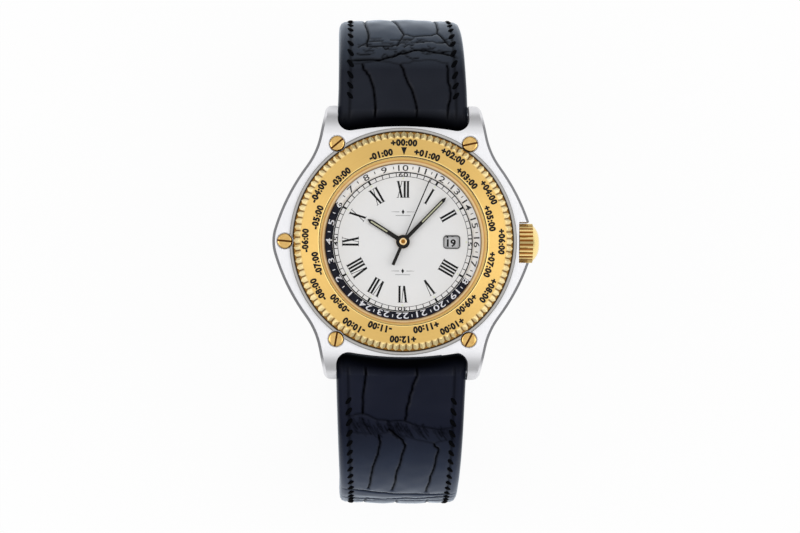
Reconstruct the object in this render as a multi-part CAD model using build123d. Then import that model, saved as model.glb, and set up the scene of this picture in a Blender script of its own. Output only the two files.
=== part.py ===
from build123d import *
import math
import os

# World time wristwatch on a leather strap, in millimetres. The origin is the centre of the
# case back's outer face, +Z runs out through the dial, +Y to 12 o'clock, +X to the crown.

# Clearances shared by many fits
overrun = 1.0
fit_gap = 0.02
running_gap = 0.04
level_gap = 0.05
soft_gap = 0.3
well_gap = 0.15

# Radii from the movement out to the case's edge
movement_radius = 12.4
movement_ring_wall = 0.8
cavity_radius = movement_radius + movement_ring_wall
gasket_from_cavity = 1.4
gasket_radius = cavity_radius + gasket_from_cavity
back_edge_from_gasket = 1.2
back_radius = gasket_radius + back_edge_from_gasket
screw_from_back_edge = 1.55
screw_circle_radius = back_radius + screw_from_back_edge
case_edge_from_screw = 1.85
case_half_width = screw_circle_radius + case_edge_from_screw

# Case middle, seen from above
lug_gap = 19.4
case_edge_chamfer = 0.4
lug_corner_radius = 1.2
edge_middle_share = 0.5
upright_edge_share = 0.95
lug_width_at_end = 1.65
recess_from_back_edge = 1.15
recess_edge_y = back_radius + recess_from_back_edge
recess_arch = 1.05
recess_side_y = recess_edge_y - recess_arch
recess_corner_radius = 1.8
lug_length = 3.35
lug_end_y = recess_edge_y + lug_length
lug_nose_x = lug_gap / 2 + lug_width_at_end
lug_flare = 0.95
lug_root_x = lug_nose_x + lug_flare
lug_side_length = 4.7
lug_root_y = lug_end_y - lug_side_length
flank_tip_bulge = 0.35
flank_end_x = case_half_width - flank_tip_bulge
flank_end_y = 2.1
waist_x_share = 0.305
waist_x = lug_root_x + waist_x_share * (flank_end_x - lug_root_x)
waist_y_share = 0.333
waist_y = lug_root_y - waist_y_share * (lug_root_y - flank_end_y)

# Case middle, seen from the side
back_thickness = 1.0
case_top = 7.4
lug_foot_z = 0.3
lug_nose_z = 3.3
lug_foot_step = 0.05
lug_foot_start_y = recess_side_y + lug_foot_step
collar_top = 9.4

# Case back, its screws and the gaskets
back_edge_chamfer = 0.35
screw_angles = (34.2, 145.8, 214.2, 270.0, 325.8)
screw_slot_turns = (12.0, 62.0, 80.0, -5.0, 40.0)
screw_ear_radius = 1.6
screw_head_radius = 1.15
screw_head_height = 0.75
screw_head_dome = 0.3
screw_bore_depth = 0.45
screw_bore_gap = 0.12
screw_shank_radius = 0.5
screw_slot_width = 0.28
screw_slot_depth = 0.25
screw_end_z = 0.35
gasket_width = 0.6
gasket_height = 0.5

# Crystal and the ring between crystal and dial
hour_ring_edge_gap = 0.4
hour_ring_radius = movement_radius - hour_ring_edge_gap
flange_over_ring = 0.55
flange_low_radius = hour_ring_radius - flange_over_ring
flange_slope_width = 0.8
flange_high_radius = flange_low_radius + flange_slope_width
crystal_radius = flange_high_radius + level_gap
crystal_seal_width = 0.32
collar_bore_radius = crystal_radius + crystal_seal_width
collar_wall = 0.48
collar_outer_radius = collar_bore_radius + collar_wall
flange_outer_radius = collar_bore_radius - fit_gap
crystal_low = 8.6
crystal_top = 10.1
crystal_chamfer = 0.2
flange_lip_height = 0.12

# Turning bezel, its seat and its springs
seat_edge_from_screw = 0.65
seat_outer_radius = screw_circle_radius - seat_edge_from_screw
bezel_inside_seat = 0.65
bezel_radius = seat_outer_radius - bezel_inside_seat
flute_count = 100
flute_depth = 0.36
bezel_low = 8.2
bezel_skirt_top = 8.7
bezel_shoulder_z = 9.6
bezel_slope_width = 0.67
bezel_shoulder_radius = bezel_radius - bezel_slope_width
bezel_lip_gap = 0.1
bezel_lip_radius = crystal_radius + bezel_lip_gap
bezel_lip_z = 9.95
seat_chamfer = 0.15
click_from_collar = 1.3
click_spring_radius = collar_outer_radius + click_from_collar
click_spring_width = 0.9
click_spring_thickness = 0.18
click_groove_depth = 0.25
click_gap_angle = 24.0
snap_wire_radius = collar_outer_radius + fit_gap
snap_wire_width = 0.3
snap_wire_height = 0.2
snap_wire_z = 8.8

# Crown and the pieces on its stem
stem_z = 3.85
stem_radius = 0.5
stem_inner_x = 5.2
crown_notch_depth = 2.15
crown_notch_x = case_half_width - crown_notch_depth
crown_notch_half_width = 3.0
crown_seat_gap = 0.15
crown_face_x = crown_notch_x + crown_seat_gap
crown_flute_length = 2.05
crown_flute_end_x = crown_face_x + crown_flute_length
crown_dome_height = 0.95
crown_end_x = crown_flute_end_x + crown_dome_height
crown_radius = 2.9
crown_dome_radius = 1.9
crown_flute_count = 26
crown_flute_depth = 0.22
crown_recess_radius = 1.4
crown_recess_depth = 1.6
crown_pull = 1.2
tube_radius = 1.1
tube_bore_radius = 0.6
tube_from_cavity = 0.4
tube_inner_x = cavity_radius + tube_from_cavity
tube_in_crown = 1.3
tube_outer_x = crown_face_x + tube_in_crown
seal_from_face = 0.4
seal_length = 0.6
winding_pinion_length = 0.8
winding_pinion_teeth = 14
sliding_pinion_radius = 0.95
sliding_pinion_length = 1.6
sliding_pinion_gap = 0.25
sliding_groove_radius = 0.75
sliding_groove_length = 0.4
yoke_thickness = 0.3
yoke_length = 3.2
yoke_width = 0.8

# Movement heights, counted up from the case back
rotor_clearance = 0.12
rotor_thickness = 0.38
winding_wheel_gap = 0.1
winding_wheel_thickness = 0.18
bridge_thickness = 0.6
fourth_wheel_gap = 0.1
wheel_thickness = 0.15
spoke_width = 0.5
pinion_overlap = 0.15
barrel_gap = 0.12
barrel_height = 0.78
plate_gap = 0.1
plate_thickness = 1.2
motion_pocket_depth = 0.85
date_disc_thickness = 0.12
module_plate_low = 5.9
module_plate_thickness = 0.22
ring_wheel_gap = 0.08
ring_wheel_thickness = 0.2
hour_ring_thickness = 0.2
movement_top = 6.65

# Movement plan
plate_rim_width = 0.7
third_angle = 215.0
escape_angle = -40.0
barrel_angle = 75.0
balance_x = 4.8
balance_y = -6.9
balance_radius = 3.3
balance_rim_width = 0.35
balance_spoke_width = 0.4
balance_thickness = 0.17
hairspring_gap = 0.08
hairspring_height = 0.1
hairspring_radius = 2.1
hairspring_wire = 0.05
hairspring_turns = 6
roller_radius = 0.45
roller_thickness = 0.1
escape_radius = 1.9
escape_teeth = 15
escape_tip_start_share = 0.45
escape_tip_end_share = 0.55
escape_root_share = 0.5
escape_thickness = 0.12
pallet_pivot_from_escape_length = 2.7
pallet_span = 2.1
pallet_width = 0.45
pallet_stone = 0.35
fork_horn_gap = 0.5
arbor_radius = 0.13
pivot_radius = 0.1
pivot_length = 0.25
jewel_radius = 0.45
jewel_bore_radius = 0.12
bridge_split_y = 1.25
bridge_screw_radius = 0.22
bridge_screw_head_radius = 0.32
bridge_screw_head_height = 0.2
bridge_screw_length = 1.3
cock_width = 2.6
cock_gap = 0.3
crown_wheel_floor = 0.1
crown_wheel_gap = 0.12
crown_well_wall = 0.25
crown_wheel_post_radius = 0.5
barrel_arbor_radius = 0.6
barrel_wall = 0.15
mainspring_radius = 5.0
mainspring_inner_radius = 1.2
mainspring_strip = 0.14
mainspring_height = 0.46
mainspring_turns = 8
bearing_radius = 0.9
bearing_low_reach = 0.08
rotor_edge_gap = 0.2
rotor_radius = movement_radius - rotor_edge_gap
rotor_weight_width = 2.4
rotor_hub_radius = 2.2
rotor_arm_width = 3.4

# Circles that the wheel centres lie on, and the winding wheels' spacing
barrel_circle_radius = 6.3
third_circle_radius = 4.5
escape_circle_radius = 4.55
minute_circle_radius = 3.6
ratchet_to_crown_wheel_length = 7.4
ring_teeth_from_edge = 2.5

# Tooth counts of the trains
barrel_teeth = 80
center_teeth = 80
third_teeth = 75
fourth_teeth = 84
train_pinion_teeth = 10
escape_pinion_teeth = 7
cannon_teeth = 12
minute_wheel_teeth = 36
hour_wheel_teeth = 40
ring_drive_teeth = 76
idler_teeth = 38
hour_ring_teeth = 152
ratchet_teeth = 50
crown_wheel_teeth = 24
date_teeth = 31

# Tooth outline, as shares of the module and of one tooth's pitch
tooth_tip_share = 0.9
tooth_root_share = 1.25
tooth_foot_share = 0.23
tooth_crest_share = 0.1
rim_modules = 3

# Coaxial tubes at the centre
seconds_arbor_radius = 0.2
center_tube_bore = 0.25
center_tube_radius = 0.42
center_tube_top = 5.6
cannon_bore = 0.45
cannon_radius = 0.65
hour_pipe_bore = 0.7
hour_pipe_radius = 0.95
minute_wheel_angle = 200.0
minute_post_radius = 0.3
minute_pinion_height = 0.5
hour_lower_gap = 0.2

# Dial side rings
ring_shown_width = 1.12
dial_radius = flange_low_radius - ring_shown_width
dial_thickness = 0.3
dial_foot_radius = 0.35
dial_foot_circle = 8.4
dial_foot_angles = (150.0, 330.0)
dial_hole_radius = 1.02
hour_ring_wall = 0.45
guide_ledge_width = 1.2
date_window_x = 7.19
date_window_width = 2.12
date_window_height = 1.64
date_window_corner = 0.3
date_frame_wall = 0.19
date_frame_height = 0.14
date_disc_inner_radius = 5.6
date_disc_outer_radius = 8.9
date_tooth_height = 0.3
jumper_angle = 60.0
jumper_post_radius = 0.45
jumper_circle = 3.95
jumper_width = 0.35
idler_angle = 90.0
idler_post_radius = 0.35

# Hands
hour_hand_low = 7.3
minute_hand_low = 7.6
seconds_hand_low = 7.9
hand_thickness = 0.15
seconds_hand_thickness = 0.1
hour_hand_length = 6.2
minute_hand_length = 9.1
seconds_hand_length = 10.2
hour_hand_width = 0.62
minute_hand_width = 0.54
seconds_hand_width = 0.17
seconds_tail_length = 3.75
seconds_tail_width = 0.46
hand_point_length = 0.6
hand_hub_radius = 1.0
minute_hub_radius = 0.95
seconds_hub_radius = 0.8
hand_tail_length = 0.8
lume_width_share = 0.32
lume_start_share = 0.44
lume_end_share = 0.9
hour_hand_angle = 302.0
minute_hand_angle = 44.0
seconds_hand_angle = 23.0
cap_radius = 0.55
cap_height = 0.25

# Spring bars and the strap
bar_from_lug_end = 1.2
bar_y = lug_end_y - bar_from_lug_end
bar_z = 2.2
bar_radius = 0.75
bar_tip_radius = 0.4
bar_tip_length = 0.9
bar_side_gap = 0.15
strap_loop_radius = 1.65
strap_width = 18.8
strap_end_width = 16.0
strap_loop_thickness = 3.2
strap_padded_thickness = 4.6
strap_thin_thickness = 2.2
strap_crown = 0.5
strap_thin_crown = 0.12
strap_leave_angle = 15.0
sections_per_bend = 7
strap_start_run = 5.0
strap_padded_at = 9.0
strap_padded_until = 34.0

# Route of the 6 o'clock half, which carries the holes
long_top_radius = 19.1
long_drop = 9.8
long_low_radius = 24.0
long_flat_run = 41.0
tail_point_length = 8.0
tail_nose_radius = 3.0
hole_count = 7
hole_radius = 0.75
hole_step_length = 3.0
first_hole_from_tail = 12.0

# Route of the 12 o'clock half, which carries the buckle
short_top_radius = 11.3
short_drop = 6.0
short_low_radius = 22.0
short_flat_run = 12.0

# Buckle and keepers
buckle_bar_radius = 0.55
buckle_loop_radius = 1.3
buckle_bore_radius = 0.62
buckle_side_gap = 0.3
buckle_wire_width = 1.5
buckle_thickness = 1.8
buckle_length = 9.0
buckle_corner_radius = 2.2
tongue_width = 1.8
tongue_thickness = 0.8
tongue_slot_gap = 0.35
tongue_ring_radius = 1.15
keeper_width = 3.2
keeper_wall = 0.9
keeper_space = 2.7
keeper_corner_radius = 1.2
fixed_keeper_from_bar = 2.4
free_keeper_from_bar = 8.0
keeper_gap = 0.2

# Heights worked out from the stack above
rotor_low = back_thickness + rotor_clearance
rotor_top = rotor_low + rotor_thickness
winding_wheel_low = rotor_top + winding_wheel_gap
winding_wheel_top = winding_wheel_low + winding_wheel_thickness
bridge_low = winding_wheel_top + fit_gap
bridge_top = bridge_low + bridge_thickness
fourth_wheel_low = bridge_top + fourth_wheel_gap
fourth_wheel_top = fourth_wheel_low + wheel_thickness
third_wheel_low = fourth_wheel_top + pinion_overlap
third_wheel_top = third_wheel_low + wheel_thickness
fourth_pinion_top = third_wheel_top + pinion_overlap
center_wheel_low = fourth_pinion_top + level_gap
center_wheel_top = center_wheel_low + wheel_thickness
third_pinion_top = center_wheel_top + winding_wheel_gap
barrel_low = center_wheel_top + barrel_gap
barrel_top = barrel_low + barrel_height
plate_low = barrel_top + plate_gap
plate_top = plate_low + plate_thickness
motion_floor = plate_top - motion_pocket_depth
hairspring_low = bridge_top + hairspring_gap
balance_low = hairspring_low + hairspring_height + level_gap
balance_top = balance_low + balance_thickness
escape_low = balance_top + level_gap
escape_top = escape_low + escape_thickness
roller_low = escape_top + running_gap
cannon_low = motion_floor + running_gap
minute_wheel_low = cannon_low + fit_gap
minute_wheel_top = minute_wheel_low + wheel_thickness
hour_lower_low = minute_wheel_top + hour_lower_gap
hour_lower_top = hour_lower_low + wheel_thickness
date_disc_low = plate_top + running_gap
date_disc_top = date_disc_low + date_disc_thickness
module_plate_top = module_plate_low + module_plate_thickness
ring_wheel_low = module_plate_top + ring_wheel_gap
ring_wheel_top = ring_wheel_low + ring_wheel_thickness
hour_ring_low = movement_top - level_gap - hour_ring_thickness
hour_ring_top = hour_ring_low + hour_ring_thickness
dial_top = movement_top + dial_thickness
crown_wheel_high = bridge_top - crown_wheel_floor - running_gap
winding_pinion_radius = stem_z - crown_wheel_high - running_gap
bar_half_length = lug_gap / 2 - bar_side_gap
buckle_half_width = strap_end_width / 2 + buckle_side_gap + buckle_wire_width

# Tooth modules worked out from the distances and the tooth counts
barrel_module = 2 * barrel_circle_radius / (barrel_teeth + train_pinion_teeth)
center_module = 2 * third_circle_radius / (center_teeth + train_pinion_teeth)
third_module = 2 * third_circle_radius / (third_teeth + train_pinion_teeth)
fourth_module = 2 * escape_circle_radius / (fourth_teeth + escape_pinion_teeth)
cannon_module = 2 * minute_circle_radius / (cannon_teeth + minute_wheel_teeth)
minute_pinion_module = 2 * minute_circle_radius / (hour_wheel_teeth + train_pinion_teeth)
ring_module = 2 * (hour_ring_radius - ring_teeth_from_edge) / hour_ring_teeth
ratchet_module = 2 * ratchet_to_crown_wheel_length / (ratchet_teeth + crown_wheel_teeth)
idler_circle_radius = (ring_drive_teeth + idler_teeth) * ring_module / 2


def polar(distance, angle):
    """The point at a distance from the centre, at an angle from +X."""
    turn = math.radians(angle)
    return distance * math.cos(turn), distance * math.sin(turn)


def clock_point(distance, angle):
    """The point at a distance from the centre, at an angle clockwise from 12 o'clock."""
    return polar(distance, 90 - angle)


barrel_place = polar(barrel_circle_radius, barrel_angle)
third_place = polar(third_circle_radius, third_angle)
escape_place = polar(escape_circle_radius, escape_angle)
minute_place = polar(minute_circle_radius, minute_wheel_angle)
idler_place = polar(idler_circle_radius, idler_angle)
balance_place = (balance_x, balance_y)
crown_wheel_reach = math.sqrt(ratchet_to_crown_wheel_length**2 - barrel_place[1] ** 2)
crown_wheel_place = (barrel_place[0] + crown_wheel_reach, 0)


def disc(radius, low, high, place=(0, 0)):
    """A round plate between two heights."""
    plate = Cylinder(radius, high - low, align=(Align.CENTER, Align.CENTER, Align.MIN))
    return Pos(place[0], place[1], low) * plate


def bore(radius, low, high, place=(0, 0)):
    """A round cutter that runs past a plate's two faces."""
    return disc(radius, low - overrun, high + overrun, place)


def ring(outer, inner, low, high, place=(0, 0)):
    """A flat ring between two heights."""
    return disc(outer, low, high, place) - bore(inner, low, high, place)


def block(x_low, x_high, y_low, y_high, low, high):
    """A box between six planes."""
    box = Box(x_high - x_low, y_high - y_low, high - low, align=(Align.MIN,) * 3)
    return Pos(x_low, y_low, low) * box


def turned(points):
    """A ring turned about Z from a closed outline of radii and heights."""
    outline = Polyline(*[(radius, 0, height) for radius, height in points], close=True)
    return revolve(make_face(outline), Axis.Z)


def rod(radius, x_low, x_high, y, z):
    """A round bar along X."""
    bar = Cylinder(radius, x_high - x_low, align=(Align.CENTER, Align.CENTER, Align.MIN))
    return Pos(x_low, y, z) * Rot(0, 90, 0) * bar


def slab(points, low, high):
    """A plate with a polygon outline between two heights."""
    face = make_face(Polyline(*[(x, y, low) for x, y in points], close=True))
    return extrude(face, high - low, dir=(0, 0, 1))


def toothed_outline(teeth, crest_radius, root_radius, phase):
    """The corners of a wheel's teeth, with one tooth centred at the phase angle."""
    pitch = 360 / teeth
    corners = []
    for tooth in range(teeth):
        middle = phase + tooth * pitch
        corners.append(polar(root_radius, middle - tooth_foot_share * pitch))
        corners.append(polar(crest_radius, middle - tooth_crest_share * pitch))
        corners.append(polar(crest_radius, middle + tooth_crest_share * pitch))
        corners.append(polar(root_radius, middle + tooth_foot_share * pitch))
    return corners


def wheel(teeth, module, low, high, place=(0, 0), phase=0.0):
    """A toothed wheel with a solid web."""
    pitch_radius = teeth * module / 2
    crest = pitch_radius + tooth_tip_share * module
    root = pitch_radius - tooth_root_share * module
    corners = toothed_outline(teeth, crest, root, phase)
    return slab([(place[0] + x, place[1] + y) for x, y in corners], low, high)


def wheel_windows(rim_radius, hub_radius, spoke_width, low, high, place=(0, 0)):
    """The four openings between a wheel's rim, hub and spokes."""
    floor, top = low - overrun, high + overrun
    openings = ring(rim_radius, hub_radius, floor, top, place)
    half = spoke_width / 2
    x, y = place
    openings -= block(x - rim_radius, x + rim_radius, y - half, y + half, floor, top)
    return openings - block(x - half, x + half, y - rim_radius, y + rim_radius, floor, top)


def spoked_wheel(teeth, module, low, place=(0, 0), phase=0.0):
    """A thin train wheel with a rim and four spokes."""
    high = low + wheel_thickness
    rim_radius = teeth * module / 2 - rim_modules * module
    openings = wheel_windows(rim_radius, hour_pipe_radius, spoke_width, low, high, place)
    return wheel(teeth, module, low, high, place, phase) - openings


def meshed_phase(angle, driver_teeth, driver_phase, teeth):
    """The phase of a wheel that meshes with a driver seen at an angle from the driver."""
    lead = angle - driver_phase
    return angle + 180 + 180 / teeth + lead * driver_teeth / teeth


def meshed_ring_phase(angle, driver_teeth, driver_phase, teeth):
    """The phase of an inside-toothed ring that a driver meshes with at an angle."""
    lead = angle - driver_phase
    return angle + 180 / teeth - lead * driver_teeth / teeth


def arbor(radius, place, low=bridge_top + running_gap, high=plate_low - running_gap):
    """A staff between bridge and plate, with a thin pivot at each end."""
    staff = disc(radius, low, high, place)
    return staff + disc(pivot_radius, low - pivot_length, high + pivot_length, place)


def spiral(inner, outer, thickness, turns, low, high, place):
    """A flat coiled strip, as one band wound outwards."""
    steps_per_turn = 24
    steps = turns * steps_per_turn
    near, far = [], []
    for step in range(steps + 1):
        radius = inner + (outer - inner) * step / steps
        x, y = polar(radius, 360 * step / steps_per_turn)
        near.append((place[0] + x, place[1] + y))
        x, y = polar(radius + thickness, 360 * step / steps_per_turn)
        far.append((place[0] + x, place[1] + y))
    return slab(near + far[::-1], low, high)


def screw_places(radius=screw_circle_radius):
    """The five case screws, clockwise from the one beside 12 o'clock."""
    return [clock_point(radius, angle) for angle in screw_angles]


def case_outline():
    """The plan outline of the case: four lugs, two waisted flanks and a blunt tip each side."""
    edges = []
    for x_side, y_side in ((1, 1), (1, -1), (-1, -1), (-1, 1)):
        nose = (x_side * lug_nose_x, y_side * lug_end_y)
        root = (x_side * lug_root_x, y_side * lug_root_y)
        waist = (x_side * waist_x, y_side * waist_y)
        end = (x_side * flank_end_x, y_side * flank_end_y)
        side = Line(nose, root)
        dip = TangentArc(root, waist, tangent=side % 1)
        edges += [side, dip, TangentArc(waist, end, tangent=dip % 1)]
    for y_side in (1, -1):
        edges.append(Line((-lug_nose_x, y_side * lug_end_y), (lug_nose_x, y_side * lug_end_y)))
    for x_side in (1, -1):
        top = (x_side * flank_end_x, flank_end_y)
        foot = (x_side * flank_end_x, -flank_end_y)
        edges.append(ThreePointArc(top, (x_side * case_half_width, 0), foot))
    return make_face(edges)


def case_side_profile():
    """The case seen from the crown: flat over the middle, falling to the lug ends."""
    edges = []
    for side in (1, -1):
        top = (0, side * lug_root_y, case_top)
        nose = (0, side * lug_end_y, lug_nose_z)
        foot = (0, side * lug_end_y, lug_foot_z)
        heel = (0, side * (lug_foot_start_y + back_thickness), lug_foot_z)
        floor = (0, side * lug_foot_start_y, back_thickness)
        edges.append(TangentArc(top, nose, tangent=(0, side, 0)))
        edges += [Line(nose, foot), Line(foot, heel), Line(heel, floor)]
    edges.append(Line((0, lug_root_y, case_top), (0, -lug_root_y, case_top)))
    edges.append(Line((0, lug_foot_start_y, back_thickness), (0, -lug_foot_start_y, back_thickness)))
    return make_face(edges)


def strap_recess():
    """The space between two lugs, with a gently arched back wall."""
    half = lug_gap / 2
    far_y = lug_end_y + overrun
    edges = []
    for side in (1, -1):
        left, right = (-half, side * recess_side_y), (half, side * recess_side_y)
        edges = [
            ThreePointArc(left, (0, side * recess_edge_y), right),
            Line(right, (half, side * far_y)),
            Line((half, side * far_y), (-half, side * far_y)),
            Line((-half, side * far_y), left),
        ]
        face = make_face(edges)
        corners = [v for v in face.vertices() if abs(v.Y) < lug_end_y]
        yield extrude(fillet(corners, recess_corner_radius), case_top + overrun, dir=(0, 0, 1))


def outer_top_edges(body):
    """The case's upper edges all round its outside."""
    edges = []
    for edge in body.edges():
        middle = edge.center()
        upright = abs(edge.tangent_at(edge_middle_share).Z) > upright_edge_share
        if middle.Z > lug_nose_z - fit_gap and not upright and abs(middle.X) > lug_corner_radius:
            edges.append(edge)
    return edges


def case_middle():
    """The steel case body: side walls, lugs, the collar for the bezel and all bores."""
    outline = case_outline()
    side = extrude(case_side_profile(), case_half_width + overrun, both=True, dir=(1, 0, 0))
    body = extrude(outline, case_top, dir=(0, 0, 1)) & side
    body = chamfer(outer_top_edges(body), case_edge_chamfer)
    noses = [v for v in outline.vertices() if abs(v.Y) > lug_root_y + lug_corner_radius]
    body = body & extrude(fillet(noses, lug_corner_radius), case_top + overrun, dir=(0, 0, 1))
    for recess in strap_recess():
        body -= recess
    body += disc(collar_outer_radius, movement_top, collar_top)
    body -= bore(collar_bore_radius, back_thickness, collar_top)
    body -= disc(cavity_radius, back_thickness - overrun, movement_top)
    notch_end = case_half_width + overrun
    half = crown_notch_half_width
    body -= block(crown_notch_x, notch_end, -half, half, back_thickness - overrun, case_top + overrun)
    body -= rod(tube_radius + fit_gap, movement_radius, notch_end, 0, stem_z)
    for place in screw_places():
        head_bore = screw_head_radius + screw_bore_gap
        body -= disc(head_bore, case_top - screw_bore_depth, case_top + overrun, place)
        body -= disc(screw_shank_radius + fit_gap, back_thickness - overrun, case_top, place)
    for side_sign in (1, -1):
        reach = lug_gap / 2 + bar_tip_length - bar_side_gap / 2
        body -= rod(bar_tip_radius + level_gap, -reach, reach, side_sign * bar_y, bar_z)
    groove_inner = snap_wire_radius - snap_wire_width / 2 - running_gap
    body -= snap_groove(collar_outer_radius + fit_gap, groove_inner)
    return body - gasket_groove()


def gasket_groove():
    """The groove in the case's lower face that the back gasket lies in."""
    half = gasket_width / 2 + fit_gap
    floor = back_thickness + gasket_height
    return ring(gasket_radius + half, gasket_radius - half, back_thickness - overrun, floor)


def case_back():
    """The screwed back plate, with an ear for each case screw."""
    plate = disc(back_radius, 0, back_thickness)
    plate = chamfer(plate.edges().sort_by(Axis.Z)[0:1], back_edge_chamfer)
    for place in screw_places():
        ear = disc(screw_ear_radius, 0, back_thickness, place)
        turn = math.degrees(math.atan2(place[1], place[0]))
        inner = back_radius - 2 * screw_ear_radius
        neck = block(inner, screw_circle_radius, -screw_ear_radius, screw_ear_radius, 0, back_thickness)
        plate += ear + Rot(0, 0, turn) * neck
    for place in screw_places():
        plate -= disc(screw_shank_radius + fit_gap, screw_end_z - fit_gap, back_thickness + overrun, place)
    return plate


def case_screws():
    """Five slotted case screws with domed heads, each slot where it came to rest."""
    screws = []
    head_low = case_top - screw_bore_depth
    head_top = head_low + screw_head_height
    for place, turn in zip(screw_places(), screw_slot_turns):
        head = disc(screw_head_radius, head_low, head_top, place)
        crown_edge = head.edges().sort_by(Axis.Z)[-1:]
        head = fillet(crown_edge, screw_head_dome)
        reach = 2 * screw_head_radius
        half = screw_slot_width / 2
        slot = block(-reach, reach, -half, half, head_top - screw_slot_depth, head_top + overrun)
        head -= Pos(place[0], place[1], 0) * Rot(0, 0, turn) * slot
        screws.append(head + disc(screw_shank_radius, screw_end_z, head_low, place))
    return screws


def case_gaskets():
    """The ring under the crystal's edge and the ring under the case body."""
    crystal_seal = ring(collar_bore_radius - fit_gap, crystal_radius + fit_gap, crystal_low, collar_top)
    half = gasket_width / 2
    high = back_thickness + gasket_height
    back_seal = ring(gasket_radius + half, gasket_radius - half, back_thickness, high)
    return [crystal_seal, back_seal]


def crystal():
    """The flat sapphire glass with a polished edge bevel."""
    glass = disc(crystal_radius, crystal_low, crystal_top)
    return chamfer(glass.edges().sort_by(Axis.Z)[-1:], crystal_chamfer)


def flange_ring():
    """The sloping ring between the 24 hour ring and the crystal."""
    top = crystal_low - level_gap
    return turned([
        (flange_low_radius, movement_top),
        (flange_outer_radius, movement_top),
        (flange_outer_radius, top),
        (flange_high_radius, top),
        (flange_high_radius, top - flange_lip_height),
        (flange_low_radius, movement_top + flange_lip_height),
    ])


def bezel_seat_ring():
    """The steel ring on the case top that the bezel turns over, notched for the screw heads."""
    low, top = case_top, bezel_low - level_gap
    seat = disc(seat_outer_radius, low, top)
    seat = chamfer(seat.edges().sort_by(Axis.Z)[-1:], seat_chamfer)
    seat -= bore(collar_outer_radius + fit_gap, low, top)
    half = click_spring_width / 2 + fit_gap
    groove_low = top - click_groove_depth
    seat -= ring(click_spring_radius + half, click_spring_radius - half, groove_low, top + overrun)
    for place in screw_places():
        seat -= bore(screw_head_radius + screw_bore_gap, low, top, place)
    return seat


def bezel_springs():
    """The bowed click spring in the seat's groove and the snap wire that holds the bezel."""
    half = click_spring_width / 2
    low = bezel_low - level_gap - click_groove_depth
    click = ring(click_spring_radius + half, click_spring_radius - half, low, low + click_spring_thickness)
    click -= gap_wedge(click_gap_angle, low)
    wire_half = snap_wire_width / 2
    wire_low = snap_wire_z - snap_wire_height / 2
    wire_high = wire_low + snap_wire_height
    wire = ring(snap_wire_radius + wire_half, snap_wire_radius - wire_half, wire_low, wire_high)
    return [click, wire - gap_wedge(click_gap_angle / 2, wire_low)]


def gap_wedge(angle, low):
    """A wedge that opens a ring spring at the lower right."""
    reach = 2 * click_spring_radius
    start, end = polar(reach, -45 - angle / 2), polar(reach, -45 + angle / 2)
    return slab([(0, 0), start, end], low - overrun, low + overrun)


def snap_groove(outer, inner):
    """The groove that the snap wire runs in."""
    half = snap_wire_height / 2 + running_gap
    return ring(outer, inner, snap_wire_z - half, snap_wire_z + half)


def star(count, crest_radius, depth, height):
    """A flat star with a crest and a valley for every flute."""
    corners = []
    for flute in range(count):
        x, y = polar(crest_radius, 360 * flute / count)
        corners.append((x, y, height))
        x, y = polar(crest_radius - depth, 360 * (flute + 0.5) / count)
        corners.append((x, y, height))
    return make_face(Polyline(*corners, close=True))


def bezel():
    """The fluted turning bezel: a scalloped skirt, sloped flutes and a shallow cone for the numbers."""
    foot = star(flute_count, bezel_radius, flute_depth, bezel_low)
    skirt = extrude(foot, bezel_skirt_top - bezel_low, dir=(0, 0, 1))
    lower = star(flute_count, bezel_radius, flute_depth, bezel_skirt_top)
    upper = star(flute_count, bezel_shoulder_radius, flute_depth, bezel_shoulder_z)
    body = skirt + loft([lower, upper], ruled=True)
    inner_shoulder = bezel_shoulder_radius - flute_depth
    body += turned([
        (bezel_lip_radius, bezel_low),
        (inner_shoulder, bezel_low),
        (inner_shoulder, bezel_shoulder_z),
        (bezel_lip_radius, bezel_lip_z),
    ])
    body -= bore(bezel_lip_radius, bezel_low, bezel_lip_z)
    body -= disc(collar_outer_radius + level_gap, bezel_low - overrun, collar_top + level_gap)
    half = snap_wire_width / 2 + running_gap
    return body - snap_groove(snap_wire_radius + half, bezel_lip_radius)


def crown_tube():
    """The steel tube pressed into the case for the stem."""
    tube = rod(tube_radius, tube_inner_x, tube_outer_x, 0, stem_z)
    return tube - rod(tube_bore_radius, tube_inner_x - overrun, tube_outer_x + overrun, 0, stem_z)


def crown():
    """The fluted winding crown with its domed end and the recess for tube and seal."""
    face = star(crown_flute_count, crown_radius, crown_flute_depth, 0)
    grip = extrude(face, crown_flute_end_x - crown_face_x, dir=(0, 0, 1))
    grip = Pos(crown_face_x, 0, stem_z) * Rot(0, 90, 0) * grip
    root = crown_radius - crown_flute_depth
    dome_outline = [
        Line((crown_flute_end_x, 0, 0), (crown_end_x, 0, 0)),
        Line((crown_end_x, 0, 0), (crown_end_x, crown_dome_radius / 2, 0)),
        Spline(
            (crown_end_x, crown_dome_radius / 2, 0),
            ((crown_flute_end_x + 2 * crown_end_x) / 3, crown_dome_radius, 0),
            (crown_flute_end_x, root, 0),
        ),
        Line((crown_flute_end_x, root, 0), (crown_flute_end_x, 0, 0)),
    ]
    dome = revolve(make_face(dome_outline), Axis.X)
    body = grip + Pos(0, 0, stem_z) * dome
    recess_end = crown_face_x + crown_recess_depth
    body -= rod(crown_recess_radius, crown_face_x - overrun, recess_end, 0, stem_z)
    return body - rod(stem_radius, crown_face_x, recess_end + stem_radius, 0, stem_z)


def crown_seal():
    """The rubber ring that runs on the crown tube, inside the crown."""
    low = crown_face_x + seal_from_face
    seal = rod(crown_recess_radius - fit_gap, low, low + seal_length, 0, stem_z)
    return seal - rod(tube_radius + running_gap, low - overrun, low + seal_length + overrun, 0, stem_z)


def winding_stem():
    """The stem from the crown's recess to the middle of the movement."""
    return rod(stem_radius, stem_inner_x, crown_face_x + crown_recess_depth + stem_radius, 0, stem_z)


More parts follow.
